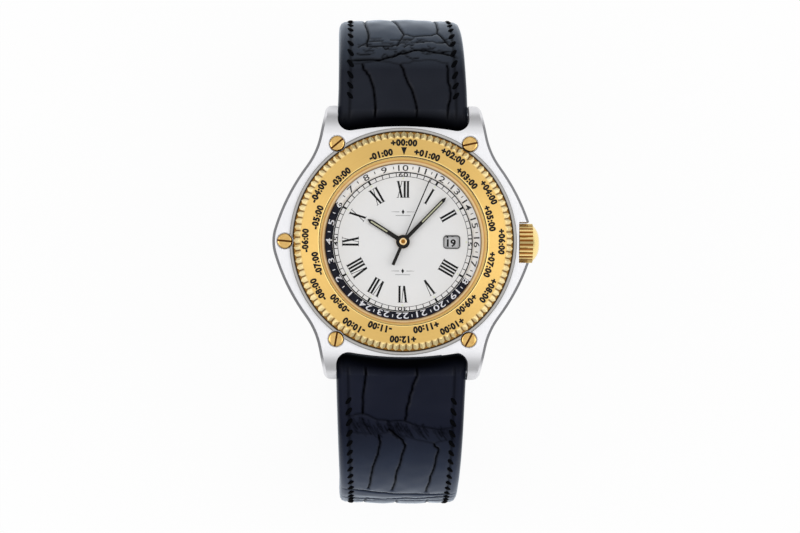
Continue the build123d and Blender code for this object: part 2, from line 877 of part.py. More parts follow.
def winding_pinion_x():
    """Where the winding pinion starts, so that it ends under the crown wheel's pitch circle."""
    return crown_wheel_place[0] + crown_wheel_teeth * ratchet_module / 2 - winding_pinion_length


def stem_pinion(teeth, radius, module_depth, x_low, x_high):
    """A toothed sleeve on the stem."""
    corners = toothed_outline(teeth, radius, radius - module_depth, 0.0)
    sleeve = slab(corners, 0, x_high - x_low)
    sleeve -= disc(stem_radius + running_gap, -overrun, x_high - x_low + overrun)
    return Pos(x_low, 0, stem_z) * Rot(0, 90, 0) * sleeve


def winding_pinion():
    """The pinion that turns the crown wheel."""
    start = winding_pinion_x()
    end = start + winding_pinion_length
    return stem_pinion(winding_pinion_teeth, winding_pinion_radius, ratchet_module, start, end)


def sliding_pinion():
    """The sliding pinion, with the groove that the yoke holds it by."""
    end = winding_pinion_x() - sliding_pinion_gap
    start = end - sliding_pinion_length
    sleeve = stem_pinion(winding_pinion_teeth, sliding_pinion_radius, ratchet_module / 2, start, end)
    middle = (start + end) / 2
    half = sliding_groove_length / 2
    groove = rod(2 * sliding_pinion_radius, middle - half, middle + half, 0, stem_z)
    groove -= rod(sliding_groove_radius, middle - overrun, middle + overrun, 0, stem_z)
    return sleeve - groove


def setting_yoke():
    """The yoke that slides the sliding pinion when the crown is pulled."""
    middle = winding_pinion_x() - sliding_pinion_gap - sliding_pinion_length / 2
    half = yoke_thickness / 2
    inner_y = -sliding_groove_radius - running_gap
    outer_y = inner_y - yoke_length
    low = stem_z - yoke_width / 2
    blade = block(middle - half, middle + half, outer_y, inner_y, low, low + yoke_width)
    high = low + yoke_width
    foot = block(middle - yoke_width, middle + yoke_width, outer_y, outer_y + yoke_width, low, high)
    return blade + foot


def crown_wheel():
    """The crown wheel, which the winding pinion drives from below at its edge."""
    phase = meshed_phase(crown_wheel_bearing(), ratchet_teeth, 0.0, crown_wheel_teeth)
    low, high = winding_wheel_low, crown_wheel_high
    body = wheel(crown_wheel_teeth, ratchet_module, low, high, crown_wheel_place, phase)
    return body - bore(crown_wheel_post_radius + running_gap, low, high, crown_wheel_place)


def crown_wheel_bearing():
    """The angle at which the crown wheel is seen from the barrel."""
    dx = crown_wheel_place[0] - barrel_place[0]
    dy = crown_wheel_place[1] - barrel_place[1]
    return math.degrees(math.atan2(dy, dx))


def ratchet_wheel():
    """The ratchet wheel on the barrel arbor that it winds."""
    body = wheel(ratchet_teeth, ratchet_module, winding_wheel_low, winding_wheel_top, barrel_place)
    body += disc(barrel_arbor_radius, winding_wheel_low, plate_low + pivot_length, barrel_place)
    hook = mainspring_inner_radius - running_gap
    return body + disc(hook, barrel_low + 2 * barrel_wall, barrel_top - 2 * barrel_wall, barrel_place)


def barrel_drum():
    """The toothed barrel, hollow for the mainspring."""
    phase = meshed_phase(barrel_angle, train_pinion_teeth, 0.0, barrel_teeth)
    teeth_high = barrel_top - barrel_wall
    body = wheel(barrel_teeth, barrel_module, teeth_high - wheel_thickness, teeth_high, barrel_place, phase)
    wall_radius = barrel_teeth * barrel_module / 2 - tooth_root_share * barrel_module
    body += disc(wall_radius, barrel_low, barrel_top, barrel_place)
    hollow = mainspring_radius + mainspring_strip + running_gap
    body -= disc(hollow, barrel_low + barrel_wall, barrel_top - barrel_wall, barrel_place)
    return body - bore(barrel_arbor_radius + running_gap, barrel_low, barrel_top, barrel_place)


def mainspring():
    """The wound mainspring in the barrel."""
    low = (barrel_low + barrel_top - mainspring_height) / 2
    return spiral(
        mainspring_inner_radius,
        mainspring_radius,
        mainspring_strip,
        mainspring_turns,
        low,
        low + mainspring_height,
        barrel_place,
    )


def center_wheel():
    """The centre wheel and pinion on the hollow arbor that carries the minute hand's tube."""
    body = spoked_wheel(center_teeth, center_module, center_wheel_low)
    body += wheel(train_pinion_teeth, barrel_module, center_wheel_top, barrel_top)
    body += disc(center_tube_radius, barrel_top, center_tube_top)
    return body - bore(center_tube_bore, center_wheel_low, center_tube_top)


def third_pinion_phase():
    """The third pinion's phase, set by the centre wheel."""
    return meshed_phase(third_angle, center_teeth, 0.0, train_pinion_teeth)


def third_wheel():
    """The third wheel and its pinion."""
    body = spoked_wheel(third_teeth, third_module, third_wheel_low, third_place)
    phase = third_pinion_phase()
    low, high = third_wheel_top, third_pinion_top
    body += wheel(train_pinion_teeth, center_module, low, high, third_place, phase)
    return body + arbor(arbor_radius, third_place)


def fourth_wheel():
    """The fourth wheel, whose long arbor carries the seconds hand."""
    phase = meshed_phase(third_angle + 180, third_teeth, 0.0, train_pinion_teeth)
    body = spoked_wheel(fourth_teeth, fourth_module, fourth_wheel_low)
    body += wheel(train_pinion_teeth, third_module, fourth_wheel_top, fourth_pinion_top, (0, 0), phase)
    body += disc(seconds_arbor_radius, bridge_top + running_gap, seconds_hand_low)
    return body + disc(pivot_radius, bridge_top - pivot_length, fourth_wheel_low)


def escape_wheel():
    """The escape wheel with its fifteen hooked teeth and its pinion."""
    corners = []
    root = escape_radius - pallet_stone
    for tooth in range(escape_teeth):
        lean = 360 / escape_teeth
        corners.append(polar(root, tooth * lean))
        corners.append(polar(escape_radius, (tooth + escape_tip_start_share) * lean))
        corners.append(polar(escape_radius, (tooth + escape_tip_end_share) * lean))
        corners.append(polar(root, (tooth + escape_root_share) * lean))
    x, y = escape_place
    body = slab([(x + px, y + py) for px, py in corners], escape_low, escape_top)
    rim = root - escape_thickness
    body -= wheel_windows(rim, 2 * pallet_stone, pallet_stone, escape_low, escape_top, escape_place)
    phase = meshed_phase(escape_angle, fourth_teeth, 0.0, escape_pinion_teeth)
    pinion_low = fourth_wheel_low - level_gap
    body += wheel(escape_pinion_teeth, fourth_module, pinion_low, escape_low, escape_place, phase)
    return body + arbor(arbor_radius, escape_place)


def escape_to_balance():
    """The angle from the escape wheel to the balance, and the distance."""
    dx, dy = balance_x - escape_place[0], balance_y - escape_place[1]
    return math.degrees(math.atan2(dy, dx)), math.hypot(dx, dy)


def pallet_place():
    """The pallet fork's pivot, on the line from the escape wheel to the balance."""
    angle, _ = escape_to_balance()
    x, y = polar(pallet_pivot_from_escape_length, angle)
    return escape_place[0] + x, escape_place[1] + y


def pallet_fork():
    """The pallet fork: two arms beside the escape wheel and a lever towards the balance."""
    angle, distance = escape_to_balance()
    lever_end = distance - pallet_pivot_from_escape_length - roller_radius - level_gap
    half = pallet_width / 2
    low, high = escape_low, escape_top
    lever = block(0, lever_end, -half / 2, half / 2, low, high)
    arm_x = pallet_stone - pallet_width / 2
    arms = block(arm_x - half, arm_x + half, -pallet_span, pallet_span, low, high)
    horn_half = fork_horn_gap / 2
    horns = block(lever_end - fork_horn_gap, lever_end, -horn_half, horn_half, low, high)
    notch = pivot_radius
    horns -= block(lever_end - horn_half, lever_end + overrun, -notch, notch, low - overrun, high + overrun)
    body = lever + arms + horns + disc(half, low, high)
    for side in (1, -1):
        y = side * (pallet_span - half)
        body += block(arm_x - half - pallet_stone, arm_x, y - half / 2, y + half / 2, low, high)
    x, y = pallet_place()
    body = Pos(x, y, 0) * Rot(0, 0, angle) * body
    clear = escape_radius + running_gap
    body -= bore(clear, escape_low, escape_top, escape_place)
    staff = disc(arbor_radius, escape_low, plate_low - running_gap, pallet_place())
    return body + staff + disc(pivot_radius, escape_low, plate_low + pivot_length, pallet_place())


def balance_wheel():
    """The balance: a weighted rim on two spokes, with its staff and roller."""
    rim = ring(balance_radius, balance_radius - balance_rim_width, balance_low, balance_top, balance_place)
    reach = balance_radius - balance_rim_width / 2
    half = balance_spoke_width / 2
    x, y = balance_place
    spoke = block(x - half, x + half, y - reach, y + reach, balance_low, balance_top)
    roller = disc(roller_radius, roller_low, roller_low + roller_thickness, balance_place)
    hub = disc(roller_radius, balance_low, balance_top, balance_place)
    return rim + spoke + roller + hub + arbor(arbor_radius, balance_place)


def hairspring():
    """The flat balance spring."""
    high = hairspring_low + hairspring_height
    inner = arbor_radius + fit_gap
    wire, turns = hairspring_wire, hairspring_turns
    return spiral(inner, hairspring_radius, wire, turns, hairspring_low, high, balance_place)


def plate_pivots():
    """The pivots that run in jewels in the main plate."""
    return [third_place, escape_place, pallet_place(), balance_place]


def bridge_pivots():
    """The pivots that run in jewels in the bridges."""
    return [(0, 0), third_place, escape_place, balance_place]


def main_plate():
    """The main plate: a disc with a rim, wells for barrel and balance, and the motion work pocket."""
    body = disc(movement_radius, plate_low, plate_top)
    body += ring(movement_radius, movement_radius - plate_rim_width, bridge_top, plate_low)
    body -= disc(barrel_outer_radius() + well_gap, barrel_low - soft_gap, plate_low, barrel_place)
    body -= disc(balance_radius + well_gap, bridge_top - overrun, plate_low, balance_place)
    hour_well = hour_wheel_teeth * minute_pinion_module / 2 + cannon_module + well_gap
    body -= disc(hour_well, motion_floor, plate_top + overrun)
    minute_well = minute_wheel_teeth * cannon_module / 2 + cannon_module + well_gap
    body -= disc(minute_well, motion_floor, plate_top + overrun, minute_place)
    body += disc(minute_post_radius, plate_low, plate_top - running_gap, minute_place)
    body -= bore(center_tube_radius + running_gap, plate_low, plate_top)
    body -= winding_slots()
    pivot_high = plate_low + pivot_length + running_gap
    body -= disc(barrel_arbor_radius + running_gap, plate_low - overrun, pivot_high, barrel_place)
    for place in plate_pivots():
        body -= disc(jewel_radius + fit_gap, plate_low - overrun, pivot_high, place)
    screw_high = bridge_top + bridge_screw_length
    for place in bridge_screw_places():
        body -= disc(bridge_screw_radius + fit_gap, bridge_top - overrun, screw_high, place)
    return body


def winding_slots():
    """The room in the main plate for the stem, its two pinions and the yoke."""
    pinion_x = winding_pinion_x()
    pinion_half = winding_pinion_radius + level_gap
    pinion_end = pinion_x + winding_pinion_length + level_gap
    high = plate_top + overrun
    slots = block(pinion_x - level_gap, pinion_end, -pinion_half, pinion_half, bridge_top, high)
    inner = pinion_x - sliding_pinion_gap - sliding_pinion_length - crown_pull
    half = sliding_pinion_radius + level_gap
    slots += block(inner, pinion_x, -half, half, bridge_top, stem_z + half)
    slots += rod(stem_radius + level_gap, inner, movement_radius + overrun, 0, stem_z)
    yoke_high = stem_z + yoke_width / 2 + level_gap
    yoke_far = sliding_groove_radius + yoke_length + 2 * running_gap
    return slots + block(inner, pinion_x, -yoke_far, 0, bridge_top, yoke_high)


def barrel_outer_radius():
    """The barrel's outer radius over its teeth."""
    return barrel_teeth * barrel_module / 2 + tooth_tip_share * barrel_module


def bridge_disc():
    """The round blank that the bridges are cut from."""
    return disc(movement_radius - level_gap, bridge_low, bridge_top)


def crown_wheel_well_radius():
    """The radius of the well that the crown wheel turns in."""
    return crown_wheel_teeth * ratchet_module / 2 + tooth_tip_share * ratchet_module + crown_wheel_gap


def crown_side(spread):
    """The part of the bridge blank that carries the crown wheel, widened by a spread."""
    reach = movement_radius + overrun
    half = crown_wheel_well_radius() + crown_well_wall + spread
    x, _ = crown_wheel_place
    strip = block(x, reach, -half, half, bridge_low, bridge_top)
    return strip + disc(half, bridge_low, bridge_top, crown_wheel_place)


def bridge_screw_places():
    """Two screws for each bridge, in the plate's rim."""
    circle = movement_radius - plate_rim_width / 2
    return [polar(circle, angle) for angle in (40.0, 140.0, 195.0, 250.0, cock_angle())]


def cock_angle():
    """The angle of the balance from the centre."""
    return math.degrees(math.atan2(balance_y, balance_x))


def screw_bores():
    """The bores through the bridges for the screws and their heads."""
    bores = []
    for place in bridge_screw_places():
        bores.append(bore(bridge_screw_radius + fit_gap, bridge_low, bridge_top, place))
        head_top = bridge_low + bridge_screw_head_height
        bores.append(disc(bridge_screw_head_radius + fit_gap, bridge_low - overrun, head_top, place))
    return bores


def jewel_seats(places):
    """The seats of the jewels in a bridge."""
    low, high = bridge_top - pivot_length - running_gap, bridge_top + overrun
    return [disc(jewel_radius + fit_gap, low, high, place) for place in places]


def barrel_bridge():
    """The bridge over barrel, ratchet and crown wheel, with the crown wheel's well and post."""
    reach = movement_radius + overrun
    upper = block(-reach, reach, bridge_split_y + level_gap, reach, bridge_low, bridge_top)
    body = bridge_disc() & (upper + crown_side(0))
    floor = bridge_top - crown_wheel_floor
    body -= disc(crown_wheel_well_radius(), bridge_low - overrun, floor, crown_wheel_place)
    body += disc(crown_wheel_post_radius, winding_wheel_low, bridge_top, crown_wheel_place)
    pinion_x = winding_pinion_x()
    half = math.sqrt(winding_pinion_radius**2 - (stem_z - bridge_top) ** 2) + level_gap
    pinion_end = pinion_x + winding_pinion_length + level_gap
    body -= block(pinion_x - level_gap, pinion_end, -half, half, bridge_low - overrun, bridge_top + overrun)
    body -= bore(barrel_arbor_radius + running_gap, bridge_low, bridge_top, barrel_place)
    for cutter in screw_bores():
        body -= cutter
    return body


def cock_blank(spread):
    """The balance cock's outline, widened by a spread."""
    half = cock_width / 2 + spread
    arm = block(0, movement_radius, -half, half, bridge_low, bridge_top)
    x, y = balance_place
    arm = Pos(x, y, 0) * Rot(0, 0, cock_angle()) * arm
    return arm + disc(half, bridge_low, bridge_top, balance_place)


def train_bridge():
    """The bridge over the going train, which also carries the rotor's bearing."""
    reach = movement_radius + overrun
    low, high = bridge_low, bridge_top
    body = bridge_disc() & block(-reach, reach, -reach, bridge_split_y - level_gap, low, high)
    body -= crown_side(winding_wheel_gap)
    body -= block(crown_wheel_place[0], reach, -reach, 0, low, high)
    body -= bore(balance_radius + soft_gap, low, high, balance_place)
    body -= cock_blank(cock_gap)
    for cutter in screw_bores() + jewel_seats(bridge_pivots()):
        body -= cutter
    return body - disc(bearing_radius / 2, low - overrun, high - jewel_radius)


def balance_cock():
    """The cock that holds the balance's outer pivot."""
    body = cock_blank(0) & bridge_disc()
    for cutter in screw_bores() + jewel_seats([balance_place]):
        body -= cutter
    return body


def bridge_screws():
    """The screws that hold the bridges to the plate's rim."""
    screws = []
    for place in bridge_screw_places():
        head = disc(bridge_screw_head_radius, bridge_low, bridge_low + bridge_screw_head_height, place)
        shank_high = bridge_top + bridge_screw_length - running_gap
        screws.append(head + disc(bridge_screw_radius, bridge_low, shank_high, place))
    return screws


def jewels():
    """The ruby bearings of the train, the fork and the balance."""
    stones = []
    for place in bridge_pivots():
        stones.append(ring(jewel_radius, jewel_bore_radius, bridge_top - pivot_length, bridge_top, place))
    for place in plate_pivots():
        stones.append(ring(jewel_radius, jewel_bore_radius, plate_low, plate_low + pivot_length, place))
    return stones


def movement_ring():
    """The ring that centres the movement in the case."""
    body = ring(cavity_radius - running_gap, movement_radius + level_gap, back_thickness, movement_top)
    return body - rod(tube_radius + level_gap, movement_radius - overrun, cavity_radius + overrun, 0, stem_z)


def module_plate():
    """The world time module's plate, with the ledge and wall that guide the 24 hour ring."""
    body = disc(movement_radius, module_plate_low, module_plate_top)
    rim_inner = date_disc_outer_radius + running_gap
    body += ring(movement_radius, rim_inner, plate_top, module_plate_low)
    wall_inner = hour_ring_radius + running_gap
    body += ring(movement_radius, wall_inner, module_plate_top, movement_top)
    ledge_top = hour_ring_low - running_gap
    body += ring(wall_inner, hour_ring_radius - guide_ledge_width, module_plate_top, ledge_top)
    body -= bore(hour_pipe_radius + level_gap, module_plate_low, module_plate_top)
    half_x = date_window_width / 2 + date_frame_wall
    half_y = date_window_height / 2 + date_frame_wall
    window_low, window_high = module_plate_low - overrun, module_plate_top + overrun
    body -= block(date_window_x - half_x, date_window_x + half_x, -half_y, half_y, window_low, window_high)
    body += disc(idler_post_radius, module_plate_top, ring_wheel_top + fit_gap, idler_place)
    for angle in dial_foot_angles:
        foot = polar(dial_foot_circle, angle)
        body -= bore(dial_foot_radius + fit_gap, plate_top, movement_top, foot)
    return body


def date_disc():
    """The date disc with its thirty-one inside teeth."""
    root = date_disc_inner_radius
    crest = root - date_tooth_height
    corners = toothed_outline(date_teeth, crest, root, 0.0)
    body = disc(date_disc_outer_radius, date_disc_low, date_disc_top)
    return body - slab(corners, date_disc_low - overrun, date_disc_top + overrun)


def date_jumper():
    """The sprung lever that holds the date disc between steps."""
    nose = date_disc_inner_radius - date_tooth_height - running_gap
    half = jumper_width / 2
    start, shoulder = jumper_circle, nose - half
    outline = [(start, -half), (shoulder, -half), (nose, 0), (shoulder, half), (start, half)]
    arm = slab(outline, date_disc_low, date_disc_top)
    post = disc(jumper_post_radius, plate_top, date_disc_top, (jumper_circle, 0))
    return Rot(0, 0, jumper_angle) * (arm + post)


def cannon_pinion():
    """The cannon pinion, a tube that carries the minute hand."""
    body = wheel(cannon_teeth, cannon_module, cannon_low, cannon_low + pinion_overlap + winding_wheel_gap)
    body += disc(cannon_radius, cannon_low, minute_hand_low)
    return body - bore(cannon_bore, cannon_low, minute_hand_low)


def minute_wheel():
    """The minute wheel and its pinion, which step the cannon pinion down to the hour wheel."""
    phase = meshed_phase(minute_wheel_angle, cannon_teeth, 0.0, minute_wheel_teeth)
    body = wheel(minute_wheel_teeth, cannon_module, minute_wheel_low, minute_wheel_top, minute_place, phase)
    high = minute_wheel_top + minute_pinion_height
    body += wheel(train_pinion_teeth, minute_pinion_module, minute_wheel_top, high, minute_place, 0.0)
    return body - bore(minute_post_radius + running_gap, minute_wheel_low, high, minute_place)


def hour_wheel():
    """The hour wheel: driven below, it drives the 24 hour ring above and carries the hour hand."""
    lower_phase = meshed_phase(minute_wheel_angle + 180, train_pinion_teeth, 0.0, hour_wheel_teeth)
    low, high = hour_lower_low, hour_lower_top
    body = wheel(hour_wheel_teeth, minute_pinion_module, low, high, (0, 0), lower_phase)
    body += wheel(ring_drive_teeth, ring_module, ring_wheel_low, ring_wheel_top)
    body += disc(hour_pipe_radius, hour_lower_low, hour_hand_low)
    return body - bore(hour_pipe_bore, hour_lower_low, hour_hand_low)


def idler_phase():
    """The idler's phase, set by the hour wheel."""
    return meshed_phase(idler_angle, ring_drive_teeth, 0.0, idler_teeth)


def ring_idler():
    """The idler between the hour wheel and the 24 hour ring."""
    body = wheel(idler_teeth, ring_module, ring_wheel_low, ring_wheel_top, idler_place, idler_phase())
    return body - bore(idler_post_radius + running_gap, ring_wheel_low, ring_wheel_top, idler_place)


def hour24_ring():
    """The 24 hour ring, toothed inside, which turns once a day against the hands."""
    pitch_radius = hour_ring_teeth * ring_module / 2
    root = pitch_radius + tooth_root_share * ring_module
    crest = pitch_radius - tooth_tip_share * ring_module
    body = disc(hour_ring_radius, hour_ring_low, hour_ring_top)
    body += disc(root + hour_ring_wall, ring_wheel_low, hour_ring_low)
    phase = meshed_ring_phase(idler_angle, idler_teeth, idler_phase(), hour_ring_teeth)
    corners = toothed_outline(hour_ring_teeth, crest, root, phase)
    return body - slab(corners, ring_wheel_low - overrun, hour_ring_top + overrun)


def rounded_window(width, height, corner, low, high):
    """A rounded block at the date window's place."""
    face = Pos(date_window_x, 0, low) * RectangleRounded(width, height, corner)
    return extrude(face, high - low, dir=(0, 0, 1))


def dial():
    """The dial plate with its feet, centre hole and date opening."""
    body = disc(dial_radius, movement_top, dial_top)
    body -= bore(dial_hole_radius, movement_top, dial_top)
    width = date_window_width + 2 * date_frame_wall
    height = date_window_height + 2 * date_frame_wall
    corner = date_window_corner + date_frame_wall
    body -= rounded_window(width, height, corner, movement_top - overrun, dial_top + overrun)
    for angle in dial_foot_angles:
        body += disc(dial_foot_radius, module_plate_low, movement_top, polar(dial_foot_circle, angle))
    return body


def date_window_frame():
    """The bevelled metal frame set into the dial around the date."""
    top = dial_top + date_frame_height
    low = movement_top
    width = date_window_width + 2 * date_frame_wall - fit_gap
    height = date_window_height + 2 * date_frame_wall - fit_gap
    frame = rounded_window(width, height, date_window_corner + date_frame_wall, low, top)
    inner = [
        Pos(date_window_x, 0, level) * RectangleRounded(
            date_window_width + spread, date_window_height + spread, date_window_corner + spread / 2
        )
        for level, spread in ((low - level_gap, 0), (top + level_gap, date_frame_wall))
    ]
    return frame - loft(inner, ruled=True)


def baton(length, width, tail, tail_width, low, high):
    """A straight hand along +Y with a pointed tip and a plain tail."""
    half, tail_half = width / 2, tail_width / 2
    shoulder = length - hand_point_length
    blade = slab([(-half, 0), (half, 0), (half, shoulder), (0, length), (-half, shoulder)], low, high)
    return blade + block(-tail_half, tail_half, -tail, 0, low, high)


def lume_bar(length, width, low, high):
    """The luminous filling of a hand, along +Y."""
    half = width * lume_width_share / 2
    return block(-half, half, length * lume_start_share, length * lume_end_share, low, high)


def filled_hand(length, width, hub_radius, hub_bore, low):
    """A hand along +Y with a hub, its bore and the slot for its filling."""
    high = low + hand_thickness
    hand = baton(length, width, hand_tail_length, width, low, high)
    hand += disc(hub_radius, low, high)
    hand -= bore(hub_bore, low, high)
    return hand - lume_bar(length, width, low - overrun, high + overrun)


def placed_hand(shape, angle):
    """A hand turned clockwise from 12 o'clock."""
    return Rot(0, 0, -angle) * shape


def hour_hand():
    """The hour hand."""
    hand = filled_hand(hour_hand_length, hour_hand_width, hand_hub_radius, hour_pipe_bore, hour_hand_low)
    return placed_hand(hand, hour_hand_angle)


def hour_hand_lume():
    """The hour hand's luminous filling."""
    bar = lume_bar(hour_hand_length, hour_hand_width, hour_hand_low, hour_hand_low + hand_thickness)
    return placed_hand(bar, hour_hand_angle)


def minute_hand():
    """The minute hand."""
    hub, low = minute_hub_radius, minute_hand_low
    hand = filled_hand(minute_hand_length, minute_hand_width, hub, cannon_bore, low)
    return placed_hand(hand, minute_hand_angle)


def minute_hand_lume():
    """The minute hand's luminous filling."""
    high = minute_hand_low + hand_thickness
    bar = lume_bar(minute_hand_length, minute_hand_width, minute_hand_low, high)
    return placed_hand(bar, minute_hand_angle)


def seconds_hand():
    """The thin seconds hand with its counterweight."""
    low, high = seconds_hand_low, seconds_hand_low + seconds_hand_thickness
    width, tail_width = seconds_hand_width, seconds_tail_width
    hand = baton(seconds_hand_length, width, seconds_tail_length, tail_width, low, high)
    return placed_hand(hand + disc(seconds_hub_radius, low, high), seconds_hand_angle)


def hand_cap():
    """The polished cap over the hands' centre."""
    low = seconds_hand_low + seconds_hand_thickness
    cap = disc(cap_radius, low, low + cap_height)
    return fillet(cap.edges().sort_by(Axis.Z)[-1:], cap_height / 2)


def rotor():
    """The winding rotor: a heavy half rim on an open arm."""
    rim = ring(rotor_radius, rotor_radius - rotor_weight_width, rotor_low, rotor_top)
    reach = rotor_radius + overrun
    rim -= block(-reach, reach, -reach, 0, rotor_low - overrun, rotor_top + overrun)
    half = rotor_arm_width / 2
    arm = block(-half, half, 0, rotor_radius - rotor_weight_width / 2, rotor_low, rotor_top)
    body = rim + arm + disc(rotor_hub_radius, rotor_low, rotor_top)
    return body - bore(bearing_radius + running_gap, rotor_low, rotor_top)


def rotor_bearing():
    """The rotor's bearing post on the train bridge."""
    body = disc(bearing_radius, rotor_low - bearing_low_reach, bridge_low)
    return body + disc(bearing_radius / 2 - fit_gap, bridge_low, bridge_top - jewel_radius)


def spring_bars():
    """The two spring bars between the lugs."""
    bars = []
    for side in (1, -1):
        bar = rod(bar_radius, -bar_half_length, bar_half_length, side * bar_y, bar_z)
        tip = lug_gap / 2 + bar_tip_length - bar_side_gap
        bars.append(bar + rod(bar_tip_radius, -tip, tip, side * bar_y, bar_z))
    return bars


def between(value, start, end, low, high):
    """A straight passage from low to high while a value goes from start to end."""
    share = min(max((value - start) / (end - start), 0), 1)
    return low + (high - low) * share


def strap_measures(along, length):
    """A strap half's width, thickness and crown at a length along it."""
    width = between(along, 0, length, strap_width, strap_end_width)
    rising = between(along, 0, strap_padded_at, strap_loop_thickness, strap_padded_thickness)
    start, end = strap_padded_at, strap_padded_until
    falling = between(along, start, end, 0, strap_padded_thickness - strap_thin_thickness)
    crown_fall = between(along, start, end, 0, strap_crown - strap_thin_crown)
    return width, rising - falling, strap_crown - crown_fall


def route_stations(side, top_radius, drop, low_radius, flat_run):
    """Where a strap half runs: place, heading and length along, segment by segment."""
    bends = (
        (strap_start_run, 0, 0),
        (0, top_radius, 90 - strap_leave_angle),
        (drop, 0, 0),
        (0, low_radius, 90),
        (flat_run, 0, 0),
    )
    station = (side * bar_y, bar_z, -strap_leave_angle, 0.0)
    segments = []
    for run, radius, turn in bends:
        y, z, heading, along = station
        count = sections_per_bend if turn else 2
        stations = []
        for step in range(count):
            share = step / (count - 1)
            start, now = math.radians(heading), math.radians(heading - turn * share)
            forward = run * share * math.cos(start) + radius * (math.sin(start) - math.sin(now))
            rise = run * share * math.sin(start) + radius * (math.cos(now) - math.cos(start))
            length = along + run * share + radius * (start - now)
            stations.append((y + side * forward, z + rise, heading - turn * share, length))
        segments.append(stations)
        station = stations[-1]
    return segments, station[-1]


def strap_section(side, station, length):
    """The strap's cross-section at a station, crowned on its outer face."""
    y, z, heading, along = station
    width, thickness, crown = strap_measures(along, length)
    angle = math.radians(heading)
    out_y, out_z = -side * math.sin(angle), math.cos(angle)
    half, inner, shoulder = width / 2, -thickness / 2, thickness / 2 - crown

    def point(x, out):
        return (x, y + out * out_y, z + out * out_z)

    edges = [
        Line(point(-half, inner), point(half, inner)),
        Line(point(half, inner), point(half, shoulder)),
        ThreePointArc(point(half, shoulder), point(0, thickness / 2), point(-half, shoulder)),
        Line(point(-half, shoulder), point(-half, inner)),
    ]
    return make_face(edges)


def strap_half(side, top_radius, drop, low_radius, flat_run):
    """One strap half: straight runs and bends joined end to end, with a loop round its spring bar."""
    segments, length = route_stations(side, top_radius, drop, low_radius, flat_run)
    body = None
    for stations in segments:
        faces = [strap_section(side, station, length) for station in stations]
        piece = loft(faces, ruled=len(faces) == 2)
        body = piece if body is None else body + piece
    half = strap_width / 2
    body += rod(strap_loop_radius, -half, half, side * bar_y, bar_z)
    return body - rod(bar_radius + running_gap, -lug_gap, lug_gap, side * bar_y, bar_z), segments


def short_route():
    """The 12 o'clock half's route."""
    return route_stations(1, short_top_radius, short_drop, short_low_radius, short_flat_run)[0]


def buckle_place():
    """The buckle bar's axis, at the end of the 12 o'clock half."""
    y, z, _, _ = short_route()[-1][-1]
    return y, z


def strap_12():
    """The short strap half, with the loop and slot for the buckle's bar and tongue."""
    body, _ = strap_half(1, short_top_radius, short_drop, short_low_radius, short_flat_run)
    y, z = buckle_place()
    half = strap_end_width / 2
    body += rod(buckle_loop_radius, -half, half, y, z)
    body -= rod(buckle_bore_radius, -strap_width, strap_width, y, z)
    slot = tongue_width / 2 + tongue_slot_gap
    reach = 2 * buckle_loop_radius
    return body - block(-slot, slot, y - reach, y + reach, z - reach, z + reach)


def strap_6():
    """The long strap half, with its row of holes and its pointed tail."""
    body, segments = strap_half(-1, long_top_radius, long_drop, long_low_radius, long_flat_run)
    end_y, end_z, _, _ = segments[-1][-1]
    half = strap_width
    nose = tail_nose_radius
    keep = make_face([
        Line((-half, -2 * long_top_radius - bar_y, 0), (half, -2 * long_top_radius - bar_y, 0)),
        Line((half, -2 * long_top_radius - bar_y, 0), (half, end_y - tail_point_length, 0)),
        Line((half, end_y - tail_point_length, 0), (strap_end_width / 2, end_y - tail_point_length, 0)),
        Line((strap_end_width / 2, end_y - tail_point_length, 0), (nose, end_y - nose / 2, 0)),
        ThreePointArc((nose, end_y - nose / 2, 0), (0, end_y, 0), (-nose, end_y - nose / 2, 0)),
        Line((-nose, end_y - nose / 2, 0), (-strap_end_width / 2, end_y - tail_point_length, 0)),
        Line((-strap_end_width / 2, end_y - tail_point_length, 0), (-half, end_y - tail_point_length, 0)),
        Line((-half, end_y - tail_point_length, 0), (-half, -2 * long_top_radius - bar_y, 0)),
    ])
    low = end_z - strap_padded_thickness
    body = body & (Pos(0, 0, low) * extrude(keep, bar_z + 2 * strap_padded_thickness - low, dir=(0, 0, 1)))
    for hole in range(hole_count):
        y = end_y - first_hole_from_tail - hole * hole_step_length
        body -= disc(hole_radius, end_z - strap_padded_thickness, end_z + strap_padded_thickness, (0, y))
    return body


def buckle_frame():
    """The buckle: a rounded frame with an ear each side for the bar."""
    y, z = buckle_place()
    outer = buckle_half_width
    inner = outer - buckle_wire_width
    low, high = z - buckle_thickness / 2, z + buckle_thickness / 2
    far = y - buckle_length
    back = y + buckle_loop_radius
    frame = block(-outer, outer, far - buckle_wire_width / 2, back, low, high)
    corners = frame.edges().filter_by(Axis.Z).sort_by(Axis.Y)[0:2]
    frame = fillet(corners, buckle_corner_radius)
    open_far = far + buckle_wire_width / 2
    frame -= block(-inner, inner, open_far, back + overrun, low - overrun, high + overrun)
    rim = frame.edges().filter_by(Axis.Y)
    frame = fillet(rim, buckle_thickness / 5)
    return frame - rod(buckle_bar_radius + fit_gap, -outer - overrun, outer + overrun, y, z)


def buckle_bar():
    """The bar that the buckle and its tongue hinge on."""
    y, z = buckle_place()
    reach = buckle_half_width - fit_gap
    return rod(buckle_bar_radius, -reach, reach, y, z)


def buckle_tongue():
    """The tongue, which lies over the frame's far bar on the outer side."""
    y, z = buckle_place()
    half = tongue_width / 2
    far = y - buckle_length - buckle_wire_width / 2
    high = z - buckle_thickness / 2 - level_gap
    low = high - tongue_thickness
    blade = block(-half, half, far, y, low, high)
    root = rod(tongue_ring_radius, -half, half, y, z)
    blade += block(-half, half, y - tongue_ring_radius, y, low, z)
    body = blade + root
    return body - rod(buckle_bar_radius + running_gap, -half - overrun, half + overrun, y, z)


